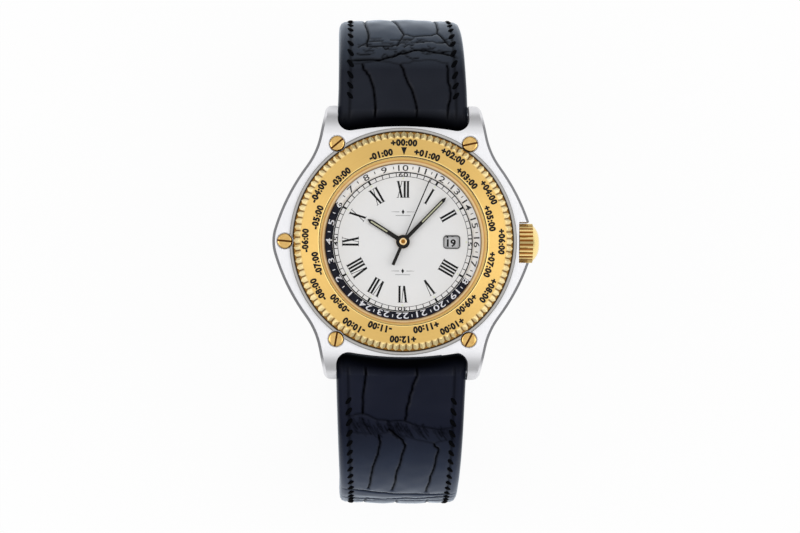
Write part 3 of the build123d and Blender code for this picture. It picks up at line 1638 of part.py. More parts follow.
def keeper(from_bar):
    """A leather loop round the strap, with room for the other strap end on its outer side."""
    bar_end_y, z = buckle_place()
    inner_half = strap_end_width / 2 + soft_gap + keeper_gap
    top = z + strap_thin_thickness / 2 + keeper_gap
    low = z - strap_thin_thickness / 2 - keeper_space
    start = bar_end_y + from_bar
    end = start + keeper_width
    half = inner_half + keeper_wall
    outer = block(-half, half, start, end, low - keeper_wall, top + keeper_wall)
    outer = fillet(outer.edges().filter_by(Axis.Y), keeper_corner_radius)
    return outer - block(-inner_half, inner_half, start - overrun, end + overrun, low, top)


def fixed_keeper():
    """The keeper sewn to the strap beside the buckle."""
    return keeper(fixed_keeper_from_bar)


def free_keeper():
    """The keeper that slides along the strap."""
    return keeper(free_keeper_from_bar)


def solids_of(shape):
    """All the solids of a shape or of a list of shapes."""
    if isinstance(shape, (list, tuple)):
        return [solid for item in shape for solid in solids_of(item)]
    return list(shape.solids())


pieces = (
    case_middle, case_back, case_gaskets, case_screws, crystal, flange_ring,
    bezel_seat_ring, bezel_springs, bezel, crown_tube, crown, crown_seal, winding_stem,
    winding_pinion, sliding_pinion, setting_yoke, crown_wheel, ratchet_wheel, barrel_drum,
    mainspring, center_wheel, third_wheel, fourth_wheel, escape_wheel, pallet_fork,
    balance_wheel, hairspring, main_plate, barrel_bridge, train_bridge, balance_cock,
    bridge_screws, jewels, movement_ring, module_plate, date_disc, date_jumper,
    cannon_pinion, minute_wheel, hour_wheel, ring_idler, hour24_ring, dial,
    date_window_frame, hour_hand, hour_hand_lume, minute_hand, minute_hand_lume,
    seconds_hand, hand_cap, rotor, rotor_bearing, spring_bars, strap_12, strap_6,
    buckle_frame, buckle_bar, buckle_tongue, fixed_keeper, free_keeper,
)

os.makedirs("parts", exist_ok=True)
for piece in pieces:
    export_step(Compound(children=solids_of(piece())), f"parts/{piece.__name__}.step")
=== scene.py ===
# World time watch on a crocodile strap: the looks of every piece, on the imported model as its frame.
import math
import random

import bmesh
import bpy
import numpy as np
from mathutils import Matrix, Vector, noise


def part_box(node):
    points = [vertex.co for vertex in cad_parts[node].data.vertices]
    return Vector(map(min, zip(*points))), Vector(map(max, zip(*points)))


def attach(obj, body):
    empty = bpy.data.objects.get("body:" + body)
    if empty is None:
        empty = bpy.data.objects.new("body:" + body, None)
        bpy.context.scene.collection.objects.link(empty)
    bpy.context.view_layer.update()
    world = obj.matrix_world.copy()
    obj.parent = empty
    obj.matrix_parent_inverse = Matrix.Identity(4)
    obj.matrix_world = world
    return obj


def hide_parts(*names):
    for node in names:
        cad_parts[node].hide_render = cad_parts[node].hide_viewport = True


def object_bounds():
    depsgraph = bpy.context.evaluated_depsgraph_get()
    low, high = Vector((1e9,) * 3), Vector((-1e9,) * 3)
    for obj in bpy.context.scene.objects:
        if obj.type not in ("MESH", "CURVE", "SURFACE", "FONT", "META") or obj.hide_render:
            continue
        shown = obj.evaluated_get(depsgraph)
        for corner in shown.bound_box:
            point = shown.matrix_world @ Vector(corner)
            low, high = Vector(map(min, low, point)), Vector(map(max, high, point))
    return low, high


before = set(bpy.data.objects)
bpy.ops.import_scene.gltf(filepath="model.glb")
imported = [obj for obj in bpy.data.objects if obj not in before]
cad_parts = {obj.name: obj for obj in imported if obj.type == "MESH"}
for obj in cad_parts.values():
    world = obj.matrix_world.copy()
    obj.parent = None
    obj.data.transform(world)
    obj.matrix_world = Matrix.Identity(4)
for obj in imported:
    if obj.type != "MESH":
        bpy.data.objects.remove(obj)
cad_low, cad_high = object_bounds()
mm = 0.001

# Case
# The middle case, its back and the ring under the bezel are milled from stainless steel.
# The tops are satin brushed along the strap, the back and the ring are turned.


def worked(operation, turned=False):
    """An operator on shades that adds a Math node. If it is turned, its two sides change places."""
    def operator(self, other):
        first, second = (other, self) if turned else (self, other)
        return self.finish.sum(operation, first, second)
    return operator


class Shade:
    """A value on its way through a finish, so that its sums are written as sums."""

    def __init__(self, finish, socket):
        self.finish, self.socket = finish, socket

    __add__ = __radd__ = worked("ADD")
    __sub__, __rsub__ = worked("SUBTRACT"), worked("SUBTRACT", True)
    __mul__ = __rmul__ = worked("MULTIPLY")
    __pow__, __gt__ = worked("POWER"), worked("GREATER_THAN")


class Finish:
    """One surface finish: a material whose constant sockets are given by name."""

    def __init__(self, name, sockets):
        self.material = bpy.data.materials.new(name)
        self.material.use_nodes = True
        self.tree = self.material.node_tree
        self.surface = self.tree.nodes["Principled BSDF"]
        self.set(sockets)

    def feed(self, inputs, values):
        """Gives inputs their constants, or links shades to them."""
        for name, value in values.items():
            if isinstance(value, Shade):
                self.tree.links.new(value.socket, inputs[name])
            else:
                inputs[name].default_value = value

    def set(self, sockets):
        """Sets or links the sockets of the finish's own shader."""
        self.feed(self.surface.inputs, sockets)

    def node(self, kind, settings=None, inputs=None, output=0):
        """Adds a node, gives it its settings first and then its inputs."""
        made = self.tree.nodes.new("ShaderNode" + kind)
        for name, value in (settings or {}).items():
            setattr(made, name, value)
        self.feed(made.inputs, inputs or {})
        return Shade(self, made.outputs[output])

    def sum(self, operation, first, second):
        """A Math node with its operation."""
        return self.node("Math", {"operation": operation}, {0: first, 1: second})

    def place(self):
        """The three coordinates of the point in the piece's own frame."""
        point = self.node("TexCoord", output="Object")
        return [self.node("SeparateXYZ", None, {0: point}, axis) for axis in "XYZ"]

    def beyond(self, start, end):
        """Goes from 0 to 1 between two distances from the watch's axis, in millimetres."""
        x, y, _ = self.place()
        return self.step((x * x + y * y) ** 0.5, start * mm, end * mm)

    def grain(self, x, y, z, detail):
        """Noise over three coordinates that are counted in grains."""
        vector = self.node("CombineXYZ", None, {0: x, 1: y, 2: z})
        return self.node("TexNoise", None, {"Vector": vector, "Scale": 1.0, "Detail": detail})

    def speckle(self, size, stretch=(1, 1, 1), detail=2.0, point=None):
        """Noise with grains of a size in millimetres, drawn out along the axes."""
        x, y, z = point or self.place()
        share = [1 / (size * mm * s) for s in stretch]
        return self.grain(x * share[0], y * share[1], z * share[2], detail)

    def turned(self, size):
        """Noise in fine rings round the watch's axis, as a lathe leaves it."""
        x, y, z = self.place()
        share, sweep = 1 / (size * mm), 0.6
        angle = self.sum("ARCTAN2", y, x)
        return self.grain((x * x + y * y) ** 0.5 * share, angle * sweep, z * share, 3.0)

    def step(self, value, start, end):
        """Goes evenly from 0 at the start to 1 at the end."""
        return self.node("MapRange", None, {0: value, 1: start, 2: end, 3: 0.0, 4: 1.0})

    def blend(self, share, first, second):
        """One colour going over into another."""
        return self.node("Mix", {"data_type": "RGBA"}, {0: share, 6: first, 7: second}, 2)

    def lay(self, colour, roughness, height, depth):
        """Gives the finish its colour, its roughness and a relief of a depth in millimetres."""
        bump = self.node("Bump", None, {"Height": height, "Strength": 1.0, "Distance": depth * mm})
        self.set({"Base Color": colour, "Roughness": roughness, "Normal": bump})

    def dress(self, *nodes):
        """Puts the finish on the CAD nodes."""
        for name in nodes:
            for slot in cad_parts[name].material_slots:
                slot.material = self.material


def tone(red, green, blue):
    """A colour in the 0 to 255 of a swatch, as light."""
    shares = [value / 255 for value in (red, green, blue)]
    return (*(s / 12.92 if s <= 0.04045 else ((s + 0.055) / 1.055) ** 2.4 for s in shares), 1.0)


def metal(name, colour, shadow, roughness, grain, stretch=None):
    """A metal with grain lines: round the watch, or drawn out by the stretch."""
    finish = Finish(name, {"Metallic": 1.0})
    lines = finish.speckle(grain, stretch) if stretch else finish.turned(grain)
    cloud = finish.speckle(6.0)
    finish.lay(
        finish.blend(lines * 0.7 + cloud * 0.3, shadow, colour),
        lines * 0.12 + (roughness - 0.06), lines, 0.004)
    return finish


steel_white, steel_shade = tone(240, 240, 242), tone(218, 218, 222)
slope_from_y, slope_to_y = 18.6, 17.0
level_facing, slope_facing, wall_facing, under_facing = 0.97, 0.8, 0.4, 0.1
case_steel = Finish("brushed case steel", {"Metallic": 1.0})
case_lines = case_steel.speckle(0.05, (1, 40, 1))
case_cloud = case_steel.speckle(6.0)
case_normal = case_steel.node("TexCoord", output="Normal")
case_facing = case_steel.node("SeparateXYZ", None, {0: case_normal}, "Z")
_, case_y, _ = case_steel.place()
# Tilted faces away from the lug ends are painted darker grey: painted shade on the slopes and chamfers.
case_slope_shade = (case_steel.step(case_facing, level_facing, slope_facing)
              * case_steel.step(case_facing, under_facing, wall_facing)
              * case_steel.step(case_y * case_y, (slope_from_y * mm) ** 2, (slope_to_y * mm) ** 2))
case_steel.lay(
    case_steel.blend(
        case_slope_shade, case_steel.blend(case_lines * 0.7 + case_cloud * 0.3, steel_shade, steel_white),
        tone(150, 150, 153)),
    case_lines * 0.12 + 0.3, case_lines, 0.003)
case_steel.dress("case_middle")
metal("turned steel", steel_white, steel_shade, 0.26, 0.06).dress("case_back", "crown_tube", "rotor_bearing")
seat_steel = Finish("seat ring steel", {"Metallic": 1.0})
seat_grain = seat_steel.turned(0.06)
# Inside 15.98 mm the ring is painted brown gilt, as the bezel's skirt in shade, and then dark, as painted
# shadow in the gap under the flutes. Its grey steel is toned darker than the case's, as painted shade of its
# recess.
seat_painted_shadow, seat_shade = seat_steel.beyond(15.98, 16.06), seat_steel.beyond(16.2, 16.32)
seat_steel.lay(
    seat_steel.blend(
        seat_shade, seat_steel.blend(seat_painted_shadow, tone(150, 108, 48), tone(52, 40, 26)),
        seat_steel.blend(seat_grain, tone(146, 144, 141), tone(190, 188, 186))),
    seat_grain * 0.12 + 0.3, seat_grain, 0.004)
seat_steel.dress("bezel_seat_ring")

# Case screws
# Five slotted screws with domed heads hold the case together from the front.
# They are steel plated with gold, polished on a felt wheel.
plated_gold = Finish("plated gold", {"Metallic": 1.0})
gold_cloud = plated_gold.speckle(0.5)
slot_floor, slot_lip = 7.47, 7.56
_, _, screw_level = plated_gold.place()
# Darker brown and rougher below the slot's lip: painted shade in the slots and round the heads' rims.
slot_shade = plated_gold.step(screw_level, slot_lip * mm, slot_floor * mm)
plated_gold.lay(
    plated_gold.blend(
        slot_shade, plated_gold.blend(gold_cloud, tone(206, 160, 86), tone(238, 202, 132)), tone(96, 58, 20)),
    gold_cloud * 0.1 + slot_shade * 0.4 + 0.16, gold_cloud, 0.01)
plated_gold.dress("case_screws")

# Steel for small parts
# Spring bars, stem, pinions, buckle and tongue are cut from bar stock and polished.
metal("polished steel", tone(232, 232, 236), tone(205, 206, 214), 0.16, 0.08, (20, 1, 1)).dress(
    "spring_bars", "winding_stem", "winding_pinion", "sliding_pinion", "setting_yoke",
    "bridge_screws", "cannon_pinion", "date_jumper", "escape_wheel", "pallet_fork")
metal("buckle steel", tone(236, 236, 240), tone(205, 206, 214), 0.2, 0.07, (30, 1, 1)).dress(
    "buckle_frame", "buckle_bar", "buckle_tongue")

# Movement plates
# The plate and bridges are brass, plated and decorated before the jewels go in.
# The plate has overlapping round grains from a rubber peg, the bridges have broad stripes.
plate_metal = Finish("pearled plate", {"Metallic": 1.0})
pearl_pitch = 0.9
pearl_x, pearl_y = (plate_metal.sum("PINGPONG", side, pearl_pitch * mm / 2) * (2 / (pearl_pitch * mm))
                    for side in plate_metal.place()[:2])
pearl = (pearl_x * pearl_x + pearl_y * pearl_y) ** 0.5
pearl_rings = plate_metal.sum("PINGPONG", pearl, 0.08) * 8.0
plate_metal.lay(
    plate_metal.blend(pearl, tone(214, 209, 196), tone(180, 173, 158)),
    pearl_rings * 0.2 + 0.25, pearl_rings, 0.006)
plate_metal.dress("main_plate", "module_plate", "movement_ring")


def striped(name, across, pitch, bright, dark, gloss, depth):
    """A metal with broad polished stripes, laid across one direction, under a turned grain."""
    finish = Finish(name, {"Metallic": 1.0})
    x, y, _ = finish.place()
    stripe = finish.sum("PINGPONG", x * across[0] + y * across[1], pitch * mm) * (1 / (pitch * mm))
    grain = finish.turned(0.05)
    finish.lay(finish.blend(stripe, bright, dark), grain * gloss[0] + gloss[1], stripe + grain * 0.3, depth)
    return finish


striped(
    "striped bridges", (0.8, 0.6), 1.1, tone(222, 219, 210), tone(190, 186, 174), (0.15, 0.2), 0.01
).dress("barrel_bridge", "train_bridge", "balance_cock")

# Wheels
# The train's wheels, the barrel and the motion work are brass with a turned grain.
# The wheels of the winding are steel with a brushed top, and the springs are blued.
metal("wheel brass", tone(228, 192, 116), tone(196, 156, 84), 0.3, 0.05).dress(
    "barrel_drum", "center_wheel", "third_wheel", "fourth_wheel", "minute_wheel", "hour_wheel",
    "ring_idler", "balance_wheel")
metal("winding wheel steel", tone(214, 215, 222), tone(182, 184, 194), 0.25, 0.04, (1, 30, 1)).dress(
    "crown_wheel", "ratchet_wheel")
metal("blued spring steel", tone(92, 116, 176), tone(48, 60, 112), 0.25, 0.05).dress(
    "mainspring", "hairspring", "bezel_springs")
ruby = Finish("ruby", {"Roughness": 0.08, "IOR": 1.77})
ruby_cloud = ruby.speckle(0.4)
ruby.set({"Base Color": ruby.blend(ruby_cloud, tone(150, 14, 46), tone(205, 46, 84))})
ruby.dress("jewels")

# Rotor
# The winding weight is a half disc of heavy metal, with stripes and a turned rim.
striped(
    "rotor weight", (0, 1), 1.3, tone(206, 206, 210), tone(168, 168, 175), (0.14, 0.22), 0.012
).dress("rotor")

# Gaskets
# Black rubber rings seal the back, the crystal and the crown.


def dusted(name, size, detail, shade, colour, roughness, depth, sockets=None, spread=0.2):
    """A finish with one fine dust all over, in its colour, its gloss and its relief."""
    finish = Finish(name, sockets or {})
    dust = finish.speckle(size, detail=detail)
    finish.lay(finish.blend(dust, shade, colour), dust * spread + roughness, dust, depth)
    return finish


dusted("gasket rubber", 0.12, 4.0, tone(20, 20, 23), tone(38, 38, 42), 0.5, 0.01).dress(
    "case_gaskets", "crown_seal")

# The 24 hour ring
# A brass ring under the dial, lacquered white for the day hours and navy for the night.
# Its figures are pad printed, light on the night side and dark on the day side.
night_middle = math.radians(210)


def night_share(finish):
    """1 on the night half of the ring, 0 on the day half."""
    x, y, _ = finish.place()
    return (x * math.sin(night_middle) + y * math.cos(night_middle)) > 0.0


ring_lacquer = Finish("two tone lacquer", {"Specular IOR Level": 0.15})
lacquer_dust = ring_lacquer.speckle(0.09, detail=4.0)
ring_night = night_share(ring_lacquer)
ring_lacquer.lay(
    ring_lacquer.blend(
        ring_night,
        ring_lacquer.blend(lacquer_dust, tone(236, 238, 240), tone(244, 246, 248)),
        ring_lacquer.blend(lacquer_dust, tone(12, 14, 28), tone(18, 21, 38))),
    lacquer_dust * 0.1 + 0.4, lacquer_dust, 0.0003)
ring_lacquer.dress("hour24_ring")


def clock(angle, out):
    """Takes a drawing from its own centre to a clock angle and a distance from the axis."""
    return Matrix.Rotation(-math.radians(angle), 4, "Z") @ Matrix.Translation((0, out, 0))


def figure(drawing, words, height, matrix, squeeze=1.0, weight=0.0, spread=1.0, bow=None):
    """Adds a line of figures in Blender's own letters, of a height and bowed round a radius."""
    curve = bpy.data.curves.new("figure", "FONT")
    curve.body, curve.size, curve.offset = words, 1.0, weight
    curve.resolution_u, curve.space_character = 3, spread
    curve.fill_mode = "FRONT"
    carrier = bpy.data.objects.new("figure", curve)
    bpy.context.scene.collection.objects.link(carrier)
    bpy.context.view_layer.update()
    mesh = bpy.data.meshes.new_from_object(carrier.evaluated_get(bpy.context.evaluated_depsgraph_get()))
    low, high = ([pick(v.co[axis] for v in mesh.vertices) for axis in (0, 1)] for pick in (min, max))
    scale = height / (high[1] - low[1])
    centre = Matrix.Translation((-(low[0] + high[0]) / 2, -(low[1] + high[1]) / 2, 0))
    mesh.transform(Matrix.Diagonal((scale * squeeze, scale, 1, 1)) @ centre)
    if bow:
        for vertex in mesh.vertices:
            turn, out = vertex.co.x / bow, bow + vertex.co.y
            vertex.co.x, vertex.co.y = out * math.sin(turn), out * math.cos(turn) - bow
    mesh.transform(matrix)
    drawing.from_mesh(mesh)
    bpy.data.objects.remove(carrier)
    bpy.data.curves.remove(curve)
    bpy.data.meshes.remove(mesh)


def stroke(drawing, matrix, start, end, width, end_width=None):
    """Adds a straight stroke from one point to another, cut square across the page."""
    side = (1, 0) if abs(end[1] - start[1]) >= abs(end[0] - start[0]) else (0, 1)
    near, far = width / 2, (width if end_width is None else end_width) / 2
    corners = [(x + side[0] * reach, y + side[1] * reach)
               for (x, y), reach in ((start, -near), (start, near), (end, far), (end, -far))]
    face = drawing.faces.new([drawing.verts.new(matrix @ Vector((x, y, 0))) for x, y in corners])
    face.normal_update()
    if face.normal.z < 0:
        face.normal_flip()


def lay_print(name, drawing, level, finish, body, film=0.012):
    """Gives a flat drawing the thickness of its ink and lays it on a surface."""
    bmesh.ops.recalc_face_normals(drawing, faces=drawing.faces)
    bmesh.ops.reverse_faces(drawing, faces=[f for f in drawing.faces if f.normal.z < 0])
    top = bmesh.ops.extrude_face_region(drawing, geom=drawing.faces[:], use_keep_orig=True)["geom"]
    lifted = [v for v in top if isinstance(v, bmesh.types.BMVert)]
    for vertex in drawing.verts:
        vertex.co.z = level(math.hypot(vertex.co.x, vertex.co.y))
    for vertex in lifted:
        vertex.co.z += film
    make_piece(name, drawing, finish, body)


def make_piece(name, mesh, finish, body, smooth=False):
    """Turns a mesh drawn in millimetres into a piece that rides on a body."""
    bmesh.ops.recalc_face_normals(mesh, faces=mesh.faces)
    bmesh.ops.scale(mesh, vec=(mm, mm, mm), verts=mesh.verts)
    for face in mesh.faces:
        face.smooth = smooth
    data = bpy.data.meshes.new(name)
    mesh.to_mesh(data)
    mesh.free()
    piece = bpy.data.objects.new(name, data)
    bpy.context.scene.collection.objects.link(piece)
    for each in finish if isinstance(finish, list) else [finish]:
        data.materials.append(each.material)
    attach(piece, body)
    return piece


ring_ink = Finish("ring figures", {})
ink_dust = ring_ink.speckle(0.05, detail=3.0)
ring_ink.set({
    "Base Color": ring_ink.blend(night_share(ring_ink), tone(28, 28, 33), tone(228, 232, 242)),
    "Roughness": ink_dust * 0.2 + 0.4,
})
ring_top, ring_middle, ring_height, top_hour, hour_turn = 6.6, 10.88, 0.88, 10, 15
half_hour_row, half_hour_reach, half_hour_width = 10.96, 0.2, 0.12
ring_print = bmesh.new()
for hour in range(1, 25):
    angle = (hour - top_hour) * hour_turn
    figure(ring_print, str(hour), ring_height, clock(angle, ring_middle),
           squeeze=1.55, weight=0.008, spread=1.04, bow=ring_middle)
    stroke(ring_print, clock(angle + hour_turn / 2, half_hour_row),
           (0, -half_hour_reach), (0, half_hour_reach), half_hour_width)
lay_print("hour24_figures", ring_print, lambda r: ring_top, ring_ink, "hour24_ring")

# Dial
# A brass disc, silvered and finely matt, with a window for the date.
dial_silver = Finish("silvered dial", {"Metallic": 0.25})
dial_dust = dial_silver.speckle(0.06, detail=4.0)
dial_cloud = dial_silver.speckle(5.0)
dial_silver.lay(
    dial_silver.blend(
        dial_dust * 0.6 + dial_cloud * 0.4, tone(206, 206, 207), tone(224, 224, 224)),
    dial_dust * 0.2 + 0.35, dial_dust, 0.004)
dial_silver.dress("dial")

# Printing on the dial
# Black Roman hours with thin feet, a minute track with its quarters, and two small ornaments.
# All of it is pad printed, and the pale dots at the hours are luminous paint.
dial_top = 6.95
black_ink = dusted("black ink", 0.05, 3.0, tone(3, 3, 5), tone(9, 9, 11), 0.4, 0.002,
                   {"Specular IOR Level": 0.2})
numeral_foot, numeral_head = 6.48, 8.94
numeral_middle = (numeral_foot + numeral_head) / 2
numeral_half = (numeral_head - numeral_foot) / 2
thick_stroke, thin_stroke, foot_stroke = 0.31, 0.09, 0.06
letter_width = {"I": 0.48, "V": 0.9, "X": 0.92}
letter_strokes = {
    "I": [(0, 0, thick_stroke)],
    "V": [(-0.28, 0.03, thick_stroke), (0.36, 0.1, thin_stroke)],
    "X": [(-0.27, 0.27, thick_stroke), (0.3, -0.3, thin_stroke)],
}
letter_feet = {
    "I": [(0, 0.5, -1), (0, 0.5, 1)],
    "V": [(-0.28, 0.56, 1), (0.34, 0.36, 1)],
    "X": [(-0.27, 0.5, 1), (0.27, 0.5, -1), (0.3, 0.34, 1), (-0.3, 0.34, -1)],
}


def roman(drawing, letters, matrix):
    """Draws one Roman hour, centred, with its top outwards."""
    x = -sum(letter_width[letter] for letter in letters) / 2
    for letter in letters:
        middle = x + letter_width[letter] / 2
        for top, bottom, width in letter_strokes[letter]:
            stroke(drawing, matrix, (middle + top, numeral_half), (middle + bottom, -numeral_half), width)
        for place, width, end in letter_feet[letter]:
            y = end * (numeral_half - foot_stroke / 2)
            left, right = middle + place - width / 2, middle + place + width / 2
            stroke(drawing, matrix, (left, y), (right, y), foot_stroke)
        x += letter_width[letter]


hours = {1: "I", 2: "II", 4: "IIII", 5: "V", 6: "VI", 7: "VII", 8: "VIII", 9: "IX", 10: "X", 11: "XI",
         12: "XII"}
numerals = bmesh.new()
for hour, letters in hours.items():
    roman(numerals, letters, clock(hour * 30, numeral_middle))
lay_print("roman_hours", numerals, lambda r: dial_top, black_ink, "case")

track = bmesh.new()
track_inner, track_outer = 9.6, 10.2
minute_width, five_minute_width = 0.11, 0.3
quarter_row, quarter_height = 9.86, 0.58
for line, half_width in ((track_inner, 0.035), (track_outer, 0.08)):
    ends = [track.verts.new((line + side * half_width, 0, 0)) for side in (-1, 1)]
    bmesh.ops.spin(track, geom=[*ends, track.edges.new(ends)], cent=(0, 0, 0), axis=(0, 0, 1),
                   angle=math.tau, steps=180, use_merge=True)
for minute in range(60):
    if minute % 15:
        stroke(track, clock(minute * 6, 0), (0, track_inner), (0, track_outer),
               minute_width if minute % 5 else five_minute_width)
    else:
        figure(track, str(minute or 60), quarter_height, clock(minute * 6, quarter_row),
               squeeze=1.8, weight=0.012, spread=1.05, bow=quarter_row)
lay_print("minute_track", track, lambda r: dial_top, black_ink, "case")

ornament = bmesh.new()
ornament_rows, diamond_reach, diamond_width = (4.4, -4.3), 0.36, 0.44
dash_from, dash_to, rule_reach, rule_drop = 0.55, 1.7, 1.1, 0.55
for row in ornament_rows:
    page = Matrix.Translation((0, row, 0))
    for side in (-1, 1):
        stroke(ornament, page, (side * dash_from, 0), (side * dash_to, 0), 0.07, 0.03)
        stroke(ornament, page, (0, side * diamond_reach), (0, 0), 0.0, diamond_width)
    stroke(ornament, page, (-rule_reach, -rule_drop), (rule_reach, -rule_drop), 0.05)
lay_print("dial_ornaments", ornament, lambda r: dial_top, black_ink, "case")

dusted("luminous paint", 0.05, 5.0, tone(160, 160, 130), tone(190, 190, 162), 0.6, 0.01).dress(
    "hour_hand_lume", "minute_hand_lume")
dot_lume = dusted("luminous dots", 0.04, 4.0, tone(198, 206, 176), tone(216, 222, 200), 0.6, 0.01)
dot_row, dot_radius = 9.34, 0.13
hour_dots = bmesh.new()
for hour in range(12):
    bmesh.ops.create_circle(hour_dots, cap_ends=True, radius=dot_radius, segments=20,
                            matrix=clock(hour * 30, dot_row))
lay_print("luminous_dots", hour_dots, lambda r: dial_top, dot_lume, "case", 0.03)

# Date
# A steel frame edges the window, and a printed disc with 31 days turns under it.
# The frame's steel is painted dark grey: painted shade of the deep window.
metal("date frame steel, painted dark as shade", tone(96, 97, 96), tone(70, 71, 70), 0.35, 0.05, (1, 20, 1)).dress(
    "date_window_frame")
dusted("date disc", 0.07, 4.0, tone(244, 245, 248), tone(250, 250, 252), 0.45, 0.003, spread=0.15).dress(
    "date_disc")
date_radius, date_top, date_height, date_drop, date_shown, day_count = 7.19, 5.66, 1.16, 0.1, 19, 31
days = bmesh.new()
for day in range(1, day_count + 1):
    turn = Matrix.Rotation(math.tau * (date_shown - day) / day_count, 4, "Z")
    figure(days, str(day), date_height, turn @ Matrix.Translation((date_radius, -date_drop, 0)),
           squeeze=1.08, weight=0.035)
lay_print("date_figures", days, lambda r: date_top, black_ink, "date_disc")

# Hands
# Pointed batons stamped from steel, with black-brown lacquer and luminous filling.
# They are pressed on their pipes, and a gilt cap covers the middle.
hand_black = Finish("hand lacquer", {"Specular IOR Level": 0.2})
hand_dust = hand_black.speckle(0.3)
hand_black.set({
    "Base Color": hand_black.blend(hand_dust, tone(12, 10, 9), tone(22, 18, 15)),
    "Roughness": hand_dust * 0.15 + 0.25,
})
hand_black.dress("hour_hand", "minute_hand", "seconds_hand")
cap_gold = Finish("gilt cap", {"Metallic": 1.0})
cap_middle = cap_gold.beyond(0.38, 0.26)
cap_grain = cap_gold.turned(0.04)
cap_gold.lay(
    cap_gold.blend(cap_middle, tone(246, 214, 160), tone(150, 98, 36)),
    cap_grain * 0.12 + 0.16, cap_grain, 0.004)
cap_gold.dress("hand_cap")

# Flange and crystal
# The sloping ring inside the crystal is brass plated with rose gold and polished.
# The crystal is a disc of clear sapphire pressed into its seal.
rose_gold = Finish("rose gold", {"Metallic": 0.0, "Specular IOR Level": 0.3})
rose_grain = rose_gold.turned(0.05)
# Below 11.47 mm the flange is painted dark brown: painted shade at the step down to the 24 hour ring.
rose_foot_shade, rose_rim = rose_gold.beyond(11.47, 11.7), rose_gold.beyond(11.82, 11.92)
rose_line = rose_gold.beyond(12.02, 12.06)
rose_gold.lay(
    rose_gold.blend(
        rose_foot_shade, tone(92, 52, 22),
        rose_gold.blend(
            rose_rim, rose_gold.blend(rose_grain, tone(255, 216, 156), tone(255, 230, 178)),
            rose_gold.blend(rose_line, tone(226, 164, 90), tone(246, 206, 122)))),
    rose_grain * 0.12 + 0.36, rose_grain, 0.004)
rose_gold.dress("flange_ring")
sapphire = Finish("sapphire", {})
slant = sapphire.node("LayerWeight", None, {"Blend": 0.5}, "Facing")
glint = slant ** 5.0 * 0.7
clear = sapphire.node("BsdfTransparent")
shine = sapphire.node("BsdfGlossy", None, {"Roughness": 0.02})
mixed = sapphire.node("MixShader", None, {0: glint, 1: clear, 2: shine})
sapphire.tree.links.new(mixed.socket, sapphire.tree.nodes["Material Output"].inputs["Surface"])
sapphire.tree.nodes.remove(sapphire.surface)
sapphire.dress("crystal")

# Bezel
# A ring of satin gold with a hundred milled flutes, which turns in clicks on its seat.
# Its cone is printed with the hours' differences of the world's time zones.
bezel_gold = Finish("satin gold", {"Metallic": 1.0})
bezel_grain = bezel_gold.turned(0.045)
bezel_cloud = bezel_gold.speckle(6.0)
flute_count = 100
bezel_x, bezel_y, _ = bezel_gold.place()
bezel_angle = bezel_gold.sum("ARCTAN2", bezel_y, bezel_x)
flute_wave = bezel_gold.node("Math", {"operation": "COSINE"}, {0: bezel_angle * flute_count})
flute_share, bezel_lip = bezel_gold.beyond(15.0, 15.3), bezel_gold.beyond(12.52, 12.46)
# The flutes' crests are painted cream as highlights and their valleys dark brown as shade.
flute_light_and_shade = bezel_gold.step(flute_wave, -0.5, -0.98)
bezel_cone = bezel_gold.blend(bezel_grain * 0.6 + bezel_cloud * 0.4, tone(202, 164, 94), tone(222, 188, 116))
bezel_gold.lay(
    bezel_gold.blend(
        flute_share, bezel_gold.blend(bezel_lip, bezel_cone, tone(255, 226, 150)),
        bezel_gold.blend(flute_light_and_shade, tone(255, 232, 170), tone(136, 96, 42))),
    bezel_grain * 0.12 + flute_share * -0.12 + 0.36, bezel_grain, 0.004)
bezel_gold.dress("bezel")
cone_foot_radius, cone_foot_level, cone_rise = 15.02, 9.6, 0.35 / 2.62
outer_row, inner_row, label_height, bare_step = 14.4, 13.1, 1.06, 22
mark_half, mark_top, mark_foot = 0.21, 0.6, -0.58


def cone_level(radius):
    """The height of the bezel's cone at a distance from the axis."""
    return cone_foot_level + (cone_foot_radius - radius) * cone_rise


zones = bmesh.new()
for step in range(24):
    if step == bare_step:
        continue
    hours_ahead = step if step <= 12 else step - 24
    words = f"{'-' if hours_ahead < 0 else '+'}{abs(hours_ahead):02d}:00"
    row = inner_row if step % 2 else outer_row
    figure(zones, words, label_height, clock(step * hour_turn, row),
           squeeze=0.96, weight=0.065, spread=1.14, bow=row)
for side in (-1, 1):
    stroke(zones, clock(0, inner_row), (side * mark_half, mark_top), (0, mark_foot), 2 * mark_half, 0.0)
lay_print("zone_figures", zones, cone_level, black_ink, "bezel_turning", 0.015)

# Crown
# A fluted gold cap on the stem, with a smooth dome at its end.
crown_gold = Finish("crown gold", {"Metallic": 1.0})
crown_level, flute_floor, flute_crest, flute_end = 3.85, 2.7, 2.88, 19.2
crown_x, crown_y, crown_z = crown_gold.place()
crown_out = ((crown_z - crown_level * mm) ** 2.0 + crown_y * crown_y) ** 0.5
crown_grain = crown_gold.speckle(0.06)
# The crown's grooves are painted dark brown: painted shade.
crown_groove_shade = crown_gold.step(crown_out, flute_crest * mm, flute_floor * mm) * crown_gold.sum(
    "LESS_THAN", crown_x, flute_end * mm)
crown_bright = crown_gold.blend(crown_grain, tone(255, 222, 140), tone(255, 236, 172))
crown_gold.lay(
    crown_gold.blend(crown_groove_shade, crown_bright, tone(150, 84, 14)),
    crown_grain * 0.1 + crown_groove_shade * 0.2 + 0.18, crown_grain, 0.004)
crown_gold.dress("crown")

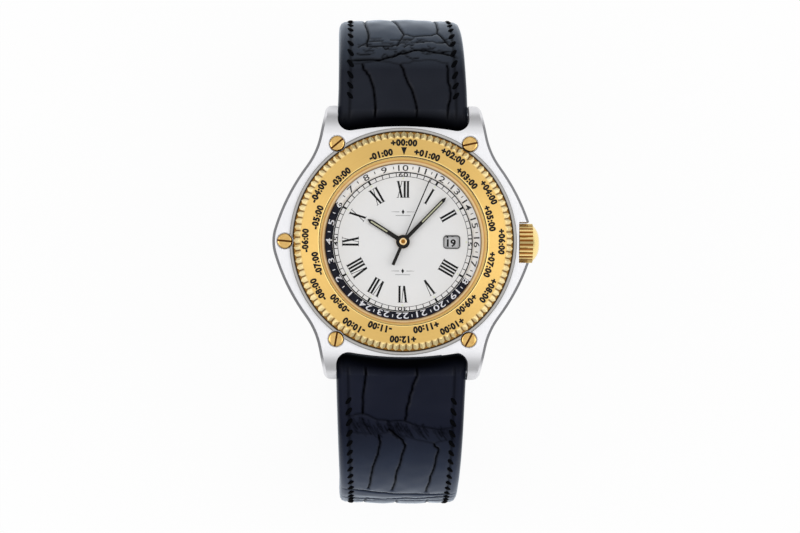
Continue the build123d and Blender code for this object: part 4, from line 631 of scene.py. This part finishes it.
# Strap halves
# Padded calf with a crocodile grain, folded round the bars and stitched along both sides.
# The halves are cut flat, with their scales and creases, and then bent into the loop.
bar_out, bar_level, leave_angle = 19.1, 2.2, math.radians(15)
strap_width, strap_knee_width, strap_tail_width = 19.36, 18.15, 16.0
quarter, bend = math.radians(90), math.radians(75)
long_route = [(5.0, 1, 0), (0, 19.1, bend), (9.8, 1, 0), (0, 24.0, quarter), (41.0, 1, 0)]
short_route = [(5.0, 1, 0), (0, 11.3, bend), (6.0, 1, 0), (0, 22.0, quarter), (12.0, 1, 0)]
knee, padded_from, thin_from, end_run = 20.0, 9.0, 34.0, 6.0
loop_thickness, padded_thickness, thin_thickness = 3.3, 4.6, 2.2
crown_run, full_crown, low_crown = 44.0, 0.52, 0.12
lean_out, lean_back = (4, 18), (24, 42)
edge_round, edge_fullness, stitch_inset = 0.9, 0.75, 1.75
wall_middle, wall_arch, wall_play, end_corner = 16.95, 1.05, 0.03, 1.85
cut_columns, wall_cuts, fine_until, fine_step, coarse_step = 92, 5, 26.0, 0.18, 0.36
channel_depth, channel_width, margin, margin_run = 0.16, 0.22, 1.9, 0.8
scale_reach, scale_dome, dome_run, lump_height, lump_pitch = 8.2, 0.1, 1.1, 0.07, 2.0
crease_press, crease_full, scale_edge, far_off = 0.65, 0.3, 0.15, 9.0
main_crease, side_crease, cross_crease = (0.42, 0.17), (0.4, 0.17), (0.4, 0.18)
edge_relief, edge_crease, channel_shade, shaded_end = 0.35, 0.4, 3.5, (1.0, 2.3)
lining_level, end_gap, hole_gap, slot_gap = -0.6, 0.01, 0.1, (0.3, 0.4)
hole_radius, hole_pitch, first_hole, hole_count = 0.75, 3.0, 12.0, 7


def along(route, length):
    """Place and heading of the strap's middle layer at a length from its bar."""
    y, z, heading = bar_out, bar_level, -leave_angle
    for run, radius, turn in route:
        step = min(length, run + radius * turn)
        if turn:
            turned = heading - step / radius
            y += radius * (math.sin(heading) - math.sin(turned))
            z += radius * (math.cos(turned) - math.cos(heading))
            heading = turned
        else:
            y += step * math.cos(heading)
            z += step * math.sin(heading)
        length -= step
        if length <= 0:
            break
    return y + length * math.cos(heading), z + length * math.sin(heading), heading


def ramp(value, start, end, low, high):
    """Goes from low to high while the value goes from start to end."""
    share = min(max((value - start) / (end - start), 0), 1)
    return low + (high - low) * share


class Half:
    """One half of the strap: its route, its side of the case and its thickness."""

    def __init__(self, side, route, end_thickness, lean):
        self.side, self.route, self.end_thickness, self.lean = side, route, end_thickness, lean
        self.length = sum(run + radius * turn if turn else run for run, radius, turn in route)

    def width(self, length):
        """Its width from edge to edge at a length from the bar."""
        if length < knee:
            return ramp(length, 0, knee, strap_width, strap_knee_width)
        return ramp(length, knee, self.length, strap_knee_width, strap_tail_width)

    def thickness(self, length):
        """Its thickness, without the crown: padded behind the loop and thin towards the end."""
        if length < padded_from:
            padded = ramp(length, 0, padded_from, loop_thickness, padded_thickness)
        else:
            padded = ramp(length, padded_from, thin_from, padded_thickness, thin_thickness)
        rise = self.end_thickness - thin_thickness
        return padded + ramp(length, self.length - end_run, self.length, 0, rise)

    def crown(self, length):
        """How far the middle stands above the edges."""
        return ramp(length, 0, crown_run, full_crown, low_crown)

    def bent(self, across, length, lift):
        """A point of the flat cut, bent into the loop, in millimetres."""
        y, z, heading = along(self.route, length)
        across += self.lean * (ramp(length, *lean_out, 0, 1) - ramp(length, *lean_back, 0, 1))
        return Vector((across, self.side * (y - math.sin(heading) * lift), z + math.cos(heading) * lift))


def grooves(points, lines):
    """How deep each point of the flat cut lies in the creases, and how far from a scale's edge."""
    depth = np.zeros(len(points))
    nearest = np.full(len(points), far_off)
    for deep, wide, corners in lines:
        for (ax, ay), (bx, by) in zip(corners, corners[1:]):
            run = np.array((bx - ax, by - ay))
            away = points - (ax, ay)
            share = np.clip(away @ run / (run @ run), 0, 1)
            gap = np.linalg.norm(away - share[:, None] * run, axis=1)
            depth = np.maximum(depth, deep * np.exp(-(gap / wide) ** 2))
            if deep > scale_edge:
                nearest = np.minimum(nearest, gap)
    return depth, nearest


def wave(draw, corners, sway=0.25, steps=3):
    """A crease through the given corners, with small turns between them."""
    line = [corners[0]]
    for (ax, ay), (bx, by) in zip(corners, corners[1:]):
        for step in range(1, steps + 1):
            share = step / steps
            wander = 0 if step == steps else sway
            line.append((ax + (bx - ax) * share + draw.uniform(-wander, wander),
                         ay + (by - ay) * share + draw.uniform(-wander, wander)))
    return line


def creases(draw, plan):
    """Draws planned creases, each with a depth, a width, its corners and, if it needs one, its own sway."""
    return [(deep, wide, wave(draw, corners, *(sway or [0.12]))) for deep, wide, corners, *sway in plan]


def band(draw, lines, middle, spread):
    """A wrinkled band across the strap: two long creases and the fine folds between them."""
    places = [scale_reach * share for share in (-1, -0.5, 0, 0.5, 1)]
    first = [(x, middle + draw.uniform(-0.5, 0.5)) for x in places]
    second = [(x, y + spread + draw.uniform(-0.3, 0.3)) for x, y in first]
    lines.append((*main_crease, wave(draw, first)))
    lines.append((0.2, 0.15, wave(draw, second)))
    for _ in range(14):
        x, lean = draw.uniform(-scale_reach, scale_reach), draw.uniform(0.3, 1.3)
        lines.append((0.1, 0.16, [(x, middle + draw.uniform(-0.4, 0.2)), (x + lean, middle + spread)]))


def columns(draw, lines, places, start, end):
    """The creases along the strap that part one row of scales from the next."""
    for x in places:
        bow = draw.uniform(-0.5, 0.5)
        corners = [(x + draw.uniform(-0.4, 0.4), start), (x + bow, (start + end) / 2),
                   (x + draw.uniform(-0.5, 0.5), end)]
        lines.append((*side_crease, wave(draw, corners)))


def rest_of_scales(draw, lines, start, end):
    """Rows of scales in a regular run, for the part of the strap below the case."""
    row = start
    while row < end:
        length = draw.uniform(9.0, 12.5)
        band(draw, lines, row, draw.uniform(1.0, 1.8))
        columns(draw, lines, [draw.uniform(-5.2, -4.2), draw.uniform(-0.9, 0.9), draw.uniform(4.2, 5.2)],
                row + 1.2, min(row + length, end))
        for side in (-1, 1):
            for _ in range(3):
                y = row + draw.uniform(2, length - 1)
                inner = (side * draw.uniform(5.6, 6.8), y + draw.uniform(-1, 1))
                lines.append((0.12, 0.18, [(side * (scale_reach + 0.2), y), inner]))
        row += length


def on_the_cut(finish):
    """Where a point lies on the flat cut, so that the grain bends with the leather."""
    cut = finish.node("UVMap", {"uv_map": "cut"})
    x, y = (finish.node("SeparateXYZ", None, {0: cut}, axis) for axis in "XY")
    return x, y, x * 0.0


def crocodile(name, shade, colour, highlight_from, highlight_to, highlight_colour):
    """Glazed crocodile grain, dyed through: the glaze is a coat that is missing in the creases, which are
    painted near black as shade.
    """
    finish = Finish(name, {
        "Specular IOR Level": 0.0, "Coat Roughness": 0.36, "Coat IOR": 1.25, "Coat Tint": (0.8, 0.88, 1.0, 1),
        "Sheen Weight": 0.75, "Sheen Roughness": 0.3, "Sheen Tint": (0.75, 0.86, 1.0, 1)})
    # The vertex attribute is painted shade: creases, the stitch channel and the end under the case go near
    # black, without their coat.
    painted_shade = finish.node("Attribute", {"attribute_name": "painted_shade"}, output="Fac")
    cut = on_the_cut(finish)
    pores = finish.speckle(0.22, detail=4.0, point=cut)
    patina = finish.speckle(7.0, detail=3.0, point=cut)
    # Lighter towards the bend: painted highlight for the sheen where the strap turns away.
    bend_highlight = finish.step(cut[1], highlight_from * mm, highlight_to * mm) * (patina * 0.6 + 0.6)
    dyed = finish.blend(patina * 0.7 + pores * 0.3, shade, colour)
    finish.set({"Coat Weight": (1.0 - painted_shade) * (patina * 0.3 + 0.7)})
    finish.lay(
        finish.blend(painted_shade, finish.blend(bend_highlight, dyed, highlight_colour), tone(0, 0, 1)),
        pores * 0.16 + painted_shade * 0.25 + 0.4, pores, 0.03)
    return finish


long_leather = crocodile(
    "navy crocodile leather", tone(3, 7, 22), tone(12, 18, 38), 8.0, 19.0, tone(60, 67, 82))
# Both halves are the same leather; the short half's greyer tone and lighter bend are painted light.
short_leather = crocodile(
    "crocodile leather greyed as painted light", tone(14, 16, 24), tone(30, 33, 42), 6.0, 13.5, tone(84, 90, 98))
lining = Finish("calf lining", {})
lining_pores = lining.speckle(0.16, detail=5.0, point=on_the_cut(lining))
lining.lay(
    lining.blend(lining_pores, tone(16, 15, 17), tone(28, 26, 28)),
    lining_pores * 0.2 + 0.55, lining_pores, 0.02)


def case_reach(x):
    """How far the strap's end reaches past its bar, so that it follows the case's curved wall."""
    reach = bar_out - wall_middle - wall_play + wall_arch * (x / (strap_width / 2)) ** 2
    corner = max(abs(x) - (strap_width / 2 - end_corner), 0)
    return reach - end_corner + math.sqrt(max(end_corner ** 2 - corner ** 2, 0))


def cut_flat(half, holes=(), slot_half=0, slot_length=0, point_length=0, nose_radius=0):
    """Cuts one strap half flat, from -1 to 1 in height, and keeps the way out of the cut at its edges."""
    fine_rows = int(fine_until / fine_step)
    rows = fine_rows + int((half.length - fine_until) / coarse_step)
    mesh = bmesh.new()
    outwards_layer = mesh.verts.layers.float_vector.new("outwards")
    mesh.verts.layers.float.new("painted_shade")
    mesh.loops.layers.uv.new("cut")
    bmesh.ops.create_grid(mesh, x_segments=cut_columns, y_segments=rows, size=1)
    for vertex in mesh.verts:
        row = (vertex.co.y + 1) / 2 * rows
        fine = ramp(row, 0, fine_rows, 0, fine_until)
        vertex.co.y = fine + ramp(row, fine_rows, rows, 0, half.length - fine_until)
        narrow = 1.0
        if point_length:
            into = (vertex.co.y - (half.length - point_length)) / point_length
            if into > 0:
                tail = half.width(vertex.co.y) / 2
                narrow = (nose_radius + (tail - nose_radius) * math.sqrt(max(1 - into ** 2, 0))) / tail
        vertex.co.x *= (half.width(vertex.co.y) / 2 - edge_round) * narrow
    gone = set()
    for face in mesh.faces:
        middle = face.calc_center_median()
        near = min((math.hypot(middle.x, middle.y - hole) for hole in holes), default=far_off)
        if near < hole_radius or (abs(middle.x) < slot_half and middle.y > half.length - slot_length):
            gone.add(face)
    bmesh.ops.delete(mesh, geom=list(gone), context="FACES")
    for vertex in mesh.verts:
        for hole in holes:
            away = Vector((vertex.co.x, vertex.co.y - hole))
            if vertex.is_boundary and 0 < away.length < hole_radius + 0.5:
                away *= hole_radius / away.length
                vertex.co.x, vertex.co.y = away.x, away.y + hole
    for vertex in [v for v in mesh.verts if v.is_boundary]:
        x, y = vertex.co.x, vertex.co.y
        at_hole = any(math.hypot(x, y - hole) < hole_radius + hole_gap for hole in holes)
        if at_hole or (abs(x) < slot_half + slot_gap[0] and y > half.length - slot_length - slot_gap[1]):
            continue
        if point_length and y > half.length - point_length:
            middles = [f.calc_center_median() for f in vertex.link_faces]
            vertex[outwards_layer] = (vertex.co - sum(middles, Vector()) / len(middles)).normalized()
            continue
        at_end = y < end_gap or y > half.length - end_gap
        at_side = len(vertex.link_faces) == 1 or not at_end
        vertex[outwards_layer] = (math.copysign(1, x) * at_side, (-1 if y < end_gap else 1) * at_end, 0)
    top = bmesh.ops.extrude_face_region(mesh, geom=mesh.faces[:], use_keep_orig=True)["geom"]
    upper = {v for v in top if isinstance(v, bmesh.types.BMVert)}
    for vertex in mesh.verts:
        vertex.co.z = 1 if vertex in upper else -1
    walls = [e for e in mesh.edges if abs(e.verts[0].co.z - e.verts[1].co.z) > 1]
    bmesh.ops.subdivide_edges(mesh, edges=walls, cuts=wall_cuts, use_grid_fill=True)
    return mesh


def pad_and_bend(half, mesh, lines, pointed):
    """Rounds the edges of a flat cut, raises its scales and bends it into the loop."""
    outwards_layer = mesh.verts.layers.float_vector["outwards"]
    painted_shade_layer = mesh.verts.layers.float["painted_shade"]
    map_layer = mesh.loops.layers.uv["cut"]
    depth, nearest = grooves(np.array([(v.co.x, v.co.y) for v in mesh.verts]), lines)
    for face in mesh.faces:
        face.material_index = 1 if all(v.co.z < lining_level for v in face.verts) else 0
        for loop in face.loops:
            loop[map_layer].uv = (loop.vert.co.x * mm, loop.vert.co.y * mm)
    for vertex, deep, gap in zip(mesh.verts[:], depth, nearest):
        x, y, level = vertex.co
        thick = half.thickness(y) / 2
        outwards = Vector(vertex[outwards_layer])
        across, length, lift = x, y, thick * level
        if abs(level) < 0.99:
            bow = level * math.pi / 2
            swing = math.cos(bow) ** edge_fullness
            lift = thick * math.copysign(abs(math.sin(bow)) ** edge_fullness, level)
            if outwards.length > 0:
                far_end = y > half.length - end_gap and not pointed
                across = x + outwards.x * edge_round * swing
                length = y + outwards.y * edge_round * swing
                if y < end_gap or far_end:
                    reach = thick if far_end else case_reach(x)
                    length, lift = y + outwards.y * reach * math.cos(bow), thick * math.sin(bow)
        elif level > 0:
            share = x / (half.width(y) / 2)
            edge = half.width(y) / 2 - abs(x)
            channel = channel_depth * math.exp(-((edge - stitch_inset) / channel_width) ** 2)
            inside = min(max((edge - margin) / margin_run, 0), 1)
            dome = scale_dome * (1 - math.exp(-(gap / dome_run) ** 2))
            lump = noise.noise(Vector((x / lump_pitch, y / lump_pitch, half.side * 7.0))) * lump_height
            lift += half.crown(y) * (1 - share * share)
            lift += (dome + lump - crease_press * deep) * ramp(inside, 0, 1, edge_relief, 1) - channel
            # Creases and the stitch channel are painted darker: painted shade.
            shaded = deep * ramp(inside, 0, 1, edge_crease, 1) / crease_full + channel * channel_shade
            vertex[painted_shade_layer] = min(shaded, 1)
        # The end under the case is painted black: painted shadow of the case.
        case_shadow = ramp(length + case_reach(x), *shaded_end, 1, 0)
        vertex[painted_shade_layer] = max(vertex[painted_shade_layer], case_shadow)
        vertex.co = half.bent(across, length, lift)
    return mesh


draw = random.Random(6)
six = Half(-1, long_route, 2.2, 0.1)
six_lines = creases(draw, [
    (*main_crease, [(-5.2, -1), (-5.4, 1.1), (-5.7, 3.5), (-5.7, 5.8)]),
    (*main_crease, [(2.6, -1), (2.0, 0.8), (1.3, 3.0), (0.9, 4.7), (0.6, 6.6)]),
    (0.22, 0.13, [(-8.2, 6.2), (-5.7, 5.8), (-3.5, 6.6), (-1.5, 6.8), (0.6, 6.8), (2.3, 7.4),
                  (5.3, 7.9), (8.2, 7.6)]),
    (0.14, 0.14, [(-8.2, 8.4), (-3.3, 8.6), (-1.8, 8.2), (2.3, 9.4), (5.0, 10.0), (8.2, 9.4)], 0.15),
    (*main_crease, [(-3.3, 8.8), (-3.1, 10.3), (-3.6, 12.5), (-4.2, 15.2), (-4.7, 19.4)]),
    (*main_crease, [(-1.8, 7.9), (0.3, 9.5), (0.7, 10.3), (0.1, 12.8), (-0.6, 15.9), (-1.1, 19.8)]),
    (*main_crease, [(5.0, 10.2), (5.7, 11.1), (5.3, 13.2), (4.6, 16.3), (4.1, 20.4)]),
    (*cross_crease, [(-8.2, 20.0), (-5.1, 20.3), (-0.6, 21.1), (4.1, 21.3), (8.2, 21.6)]),
])
six_folds, twelve_folds = 96, 48
for _ in range(six_folds):
    x, long = draw.uniform(-7.6, 7.2), draw.uniform(0.5, 1.9)
    y = 6.9 + x * 0.08 + draw.uniform(-0.1, 1.1)
    fold = [(x, y), (x + 0.2 * long, y + 0.5 * long), (x + 0.6 * long, y + long)]
    six_lines.append((draw.uniform(0.1, 0.28), 0.1, fold))
rest_of_scales(draw, six_lines, 23.0, six.length - 3)
six_holes = [six.length - first_hole - n * hole_pitch for n in range(hole_count)]
six_flat = cut_flat(six, six_holes, point_length=8.0, nose_radius=3.0)
strap_six = make_piece("strap_6_leather", pad_and_bend(six, six_flat, six_lines, True),
                       [long_leather, lining], "strap_6_half", True)
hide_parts("strap_6")
twelve = Half(1, short_route, 2.6, -0.35)
twelve_lines = creases(draw, [
    (*main_crease, [(-4.1, -1), (-4.4, 3.4), (-5.0, 5.3), (-5.7, 6.0), (-6.0, 6.8)]),
    (*main_crease, [(2.3, -1), (1.5, 2.4), (0.5, 4.8), (-0.3, 6.6)]),
    (*main_crease, [(6.5, -1), (7.0, 1.7), (7.0, 3.1), (6.7, 5.0), (6.6, 6.7)]),
    (*cross_crease, [(-8.2, 7.2), (-4.8, 7.4), (-3.4, 7.3), (-1.0, 7.9), (0.7, 8.4), (2.5, 8.8), (4.0, 8.7),
                 (6.1, 8.4), (8.2, 7.8)]),
    (0.16, 0.13, [(-8.2, 6.7), (-4.7, 7.1), (-2.6, 7.1), (-0.4, 6.7), (1.6, 7.2), (4.2, 7.4), (6.8, 7.0)]),
    (0.3, 0.15, [(-5.2, 9.4), (-1.5, 9.3), (-0.7, 9.6), (0.4, 11.6), (1.9, 11.2), (4.6, 11.6), (5.4, 12.2)]),
    (*side_crease, [(-5.2, 9.4), (-4.9, 11.6), (-5.3, 15.6), (-5.0, 20.0)]),
    (*side_crease, [(0.4, 11.6), (-0.9, 16.2), (-2.0, 21.6)]),
    (*side_crease, [(7.1, 9.6), (5.4, 12.2), (5.5, 15.4), (4.9, 19.4)]),
])
for _ in range(twelve_folds):
    x, y = draw.uniform(-7.4, 7.4), draw.uniform(7.6, 10.8)
    long, rise = draw.uniform(0.8, 2.2), draw.uniform(-0.5, 0.7)
    fold = [(x, y), (x + long * 0.5, y + rise), (x + long, y + rise * 0.6)]
    twelve_lines.append((draw.uniform(0.14, 0.34), 0.11, fold))
rest_of_scales(draw, twelve_lines, 21.5, twelve.length - 4)
twelve_flat = cut_flat(twelve, slot_half=1.25, slot_length=2.6)
strap_twelve = make_piece("strap_12_leather", pad_and_bend(twelve, twelve_flat, twelve_lines, False),
                          [short_leather, lining], "strap_12_half", True)
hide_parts("strap_12")

# Stitches
# Thick black linen thread, saddle stitched by hand, so each stitch leans a little.
thread = dusted("linen thread", 0.12, 3.0, tone(0, 0, 2), tone(5, 6, 9), 0.55, 0.03,
                {"Specular IOR Level": 0.03})
stitch_pitch, stitch_length, stitch_thickness, stitch_lean, stitch_sink = 1.55, 1.5, 0.62, 0.72, 0.08


def sew(name, half, start, end, body):
    """Lays both rows of stitches on a bent half."""
    rows = bmesh.new()
    for side in (-1, 1):
        count = int((end - start) / stitch_pitch)
        for number in range(count):
            length = start + (number + 0.5) * stitch_pitch
            across = side * (half.width(length) / 2 - stitch_inset)
            turn = Matrix.Translation((across, length, 0)) @ Matrix.Rotation(-side * stitch_lean, 4, "Z")
            shape = Matrix.Diagonal((stitch_thickness / 2, stitch_length / 2, stitch_thickness / 2, 1))
            bmesh.ops.create_uvsphere(rows, u_segments=6, v_segments=5, radius=1,
                                      matrix=turn @ shape @ Matrix.Rotation(math.pi / 2, 4, "X"))
    for vertex in rows.verts:
        x, y, z = vertex.co
        share = x / (half.width(y) / 2)
        lift = half.thickness(y) / 2 + half.crown(y) * (1 - share * share) - stitch_sink
        vertex.co = half.bent(x, y, lift + z)
    make_piece(name, rows, thread, body, True)


sew("strap_6_stitches", six, 3.2, six.length - 7.5, "strap_6_half")
sew("strap_12_stitches", twelve, 1.5, twelve.length - 4.5, "strap_12_half")

# Keepers
# Two leather loops round the short half: one is sewn in place, the other slides.
keeper_leather = Finish("keeper leather", {"Coat Weight": 0.1, "Coat Roughness": 0.3})
keeper_pores = keeper_leather.speckle(0.2, detail=4.0)
keeper_cloud = keeper_leather.speckle(3.0)
keeper_leather.lay(
    keeper_leather.blend(
        keeper_pores * 0.4 + keeper_cloud * 0.6, tone(9, 12, 28), tone(20, 24, 44)),
    keeper_pores * 0.2 + 0.35, keeper_pores, 0.04)
keeper_wall, keeper_corner, keeper_rim, keeper_inset = 0.9, 1.2, 0.25, 0.02


def keeper_loop(name, node, body):
    """Bends a loop of leather to the size of its solid, with turned edges."""
    low, high = (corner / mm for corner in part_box(node))
    size, middle = high - low, (high + low) / 2
    loop = bmesh.new()
    bmesh.ops.create_cube(loop, size=1)
    bmesh.ops.scale(loop, vec=(size.x - keeper_inset, size.y, size.z - keeper_inset), verts=loop.verts)
    bmesh.ops.delete(loop, geom=[f for f in loop.faces if abs(f.normal.y) > 0.5], context="FACES")
    runs = [e for e in loop.edges if abs(e.verts[0].co.y - e.verts[1].co.y) > 0.1]
    bmesh.ops.bevel(loop, geom=runs, offset=keeper_corner, offset_type="OFFSET", segments=6, profile=0.5,
                    affect="EDGES", material=-1)
    bmesh.ops.recalc_face_normals(loop, faces=loop.faces)
    bmesh.ops.solidify(loop, geom=loop.faces[:], thickness=keeper_wall)
    bmesh.ops.recalc_face_normals(loop, faces=loop.faces)
    rims = [e for e in loop.edges if abs(e.verts[0].co.y - e.verts[1].co.y) < 1e-4
            and abs(e.calc_face_angle(0)) > 1.0]
    bmesh.ops.bevel(loop, geom=rims, offset=keeper_rim, offset_type="OFFSET", segments=3, profile=0.5,
                    affect="EDGES", material=-1)
    bmesh.ops.translate(loop, vec=middle, verts=loop.verts)
    piece = make_piece(name, loop, keeper_leather, body, True)
    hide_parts(node)


keeper_loop("fixed_keeper_leather", "fixed_keeper", "strap_12_half")
keeper_loop("free_keeper_leather", "free_keeper", "free_keeper")

# Floor, light and camera
# A white table under the watch, even daylight from above and two soft boxes at the sides.
floor_gap, floor_reach = 0.0004, 2.0
floor_mesh = bmesh.new()
bmesh.ops.create_grid(floor_mesh, x_segments=1, y_segments=1, size=floor_reach)
bmesh.ops.translate(floor_mesh, vec=(0, 0, cad_low.z - floor_gap), verts=floor_mesh.verts)
floor_data = bpy.data.meshes.new("floor")
floor_mesh.to_mesh(floor_data)
floor_mesh.free()
floor = bpy.data.objects.new("floor", floor_data)
bpy.context.scene.collection.objects.link(floor)
table = Finish("white table", {"Roughness": 0.9, "Base Color": (0.86, 0.86, 0.86, 1)})
rays = [table.node("LightPath", output=f"Is {kind} Ray") for kind in ("Camera", "Glossy", "Transmission")]
seen = table.sum("MINIMUM", rays[0] + rays[1] + rays[2], 1.0) * 0.92
white = table.node("Emission", None, {"Color": (1, 1, 1, 1), "Strength": 1.0})
base = Shade(table, table.surface.outputs[0])
table_mix = table.node("MixShader", None, {0: seen, 1: base, 2: white})
underside = table.node("NewGeometry", output="Backfacing")
one_sided = table.node("MixShader", None, {0: underside, 1: table_mix, 2: table.node("BsdfTransparent")})
table.tree.links.new(one_sided.socket, table.tree.nodes["Material Output"].inputs["Surface"])
floor_data.materials.append(table.material)

world = bpy.data.worlds.new("daylight")
bpy.context.scene.world = world
world.use_nodes = True
sky_nodes, sky_links = world.node_tree.nodes, world.node_tree.links
sky_place, sky_split, sky_ramp = (
    sky_nodes.new("ShaderNode" + kind) for kind in ("TexCoord", "SeparateXYZ", "ValToRGB"))
sky_links.new(sky_place.outputs["Generated"], sky_split.inputs[0])
sky_links.new(sky_split.outputs["Z"], sky_ramp.inputs[0])
sky_links.new(sky_ramp.outputs[0], sky_nodes["Background"].inputs["Color"])
sky_stops = sky_ramp.color_ramp.elements
sky_stops[0].color = (0.2, 0.2, 0.2, 1)
sky_stops[1].position, sky_stops[1].color = 0.9, (0.92, 0.92, 0.92, 1)
sky_stops.new(0.4).color = (0.62, 0.62, 0.615, 1)

box_place, box_size, box_watts = (0.45, 0.0, 0.55), (0.3, 0.6), 1.2
for side, name in ((-1, "soft_box_left"), (1, "soft_box_right")):
    light = bpy.data.lights.new(name, "AREA")
    light.shape, light.size, light.size_y, light.energy = "RECTANGLE", *box_size, box_watts
    box = bpy.data.objects.new(name, light)
    box.location = (side * box_place[0], box_place[1], box_place[2])
    box.rotation_euler = (-box.location).to_track_quat("-Z", "Y").to_euler()
    bpy.context.scene.collection.objects.link(box)

camera_data = bpy.data.cameras.new("camera")
camera_data.lens, camera_data.sensor_width, camera_data.clip_start = 122.4, 36.0, 0.01
camera = bpy.data.objects.new("camera", camera_data)
camera.location = (-12.5 * mm, -16.5 * mm, 406.95 * mm)
camera.rotation_euler = (0, 0, math.radians(0.35))
camera_data.shift_x, camera_data.shift_y = 0.1035, 0.1087
bpy.context.scene.collection.objects.link(camera)
bpy.context.scene.camera = camera
bpy.context.scene.view_settings.view_transform = "Standard"
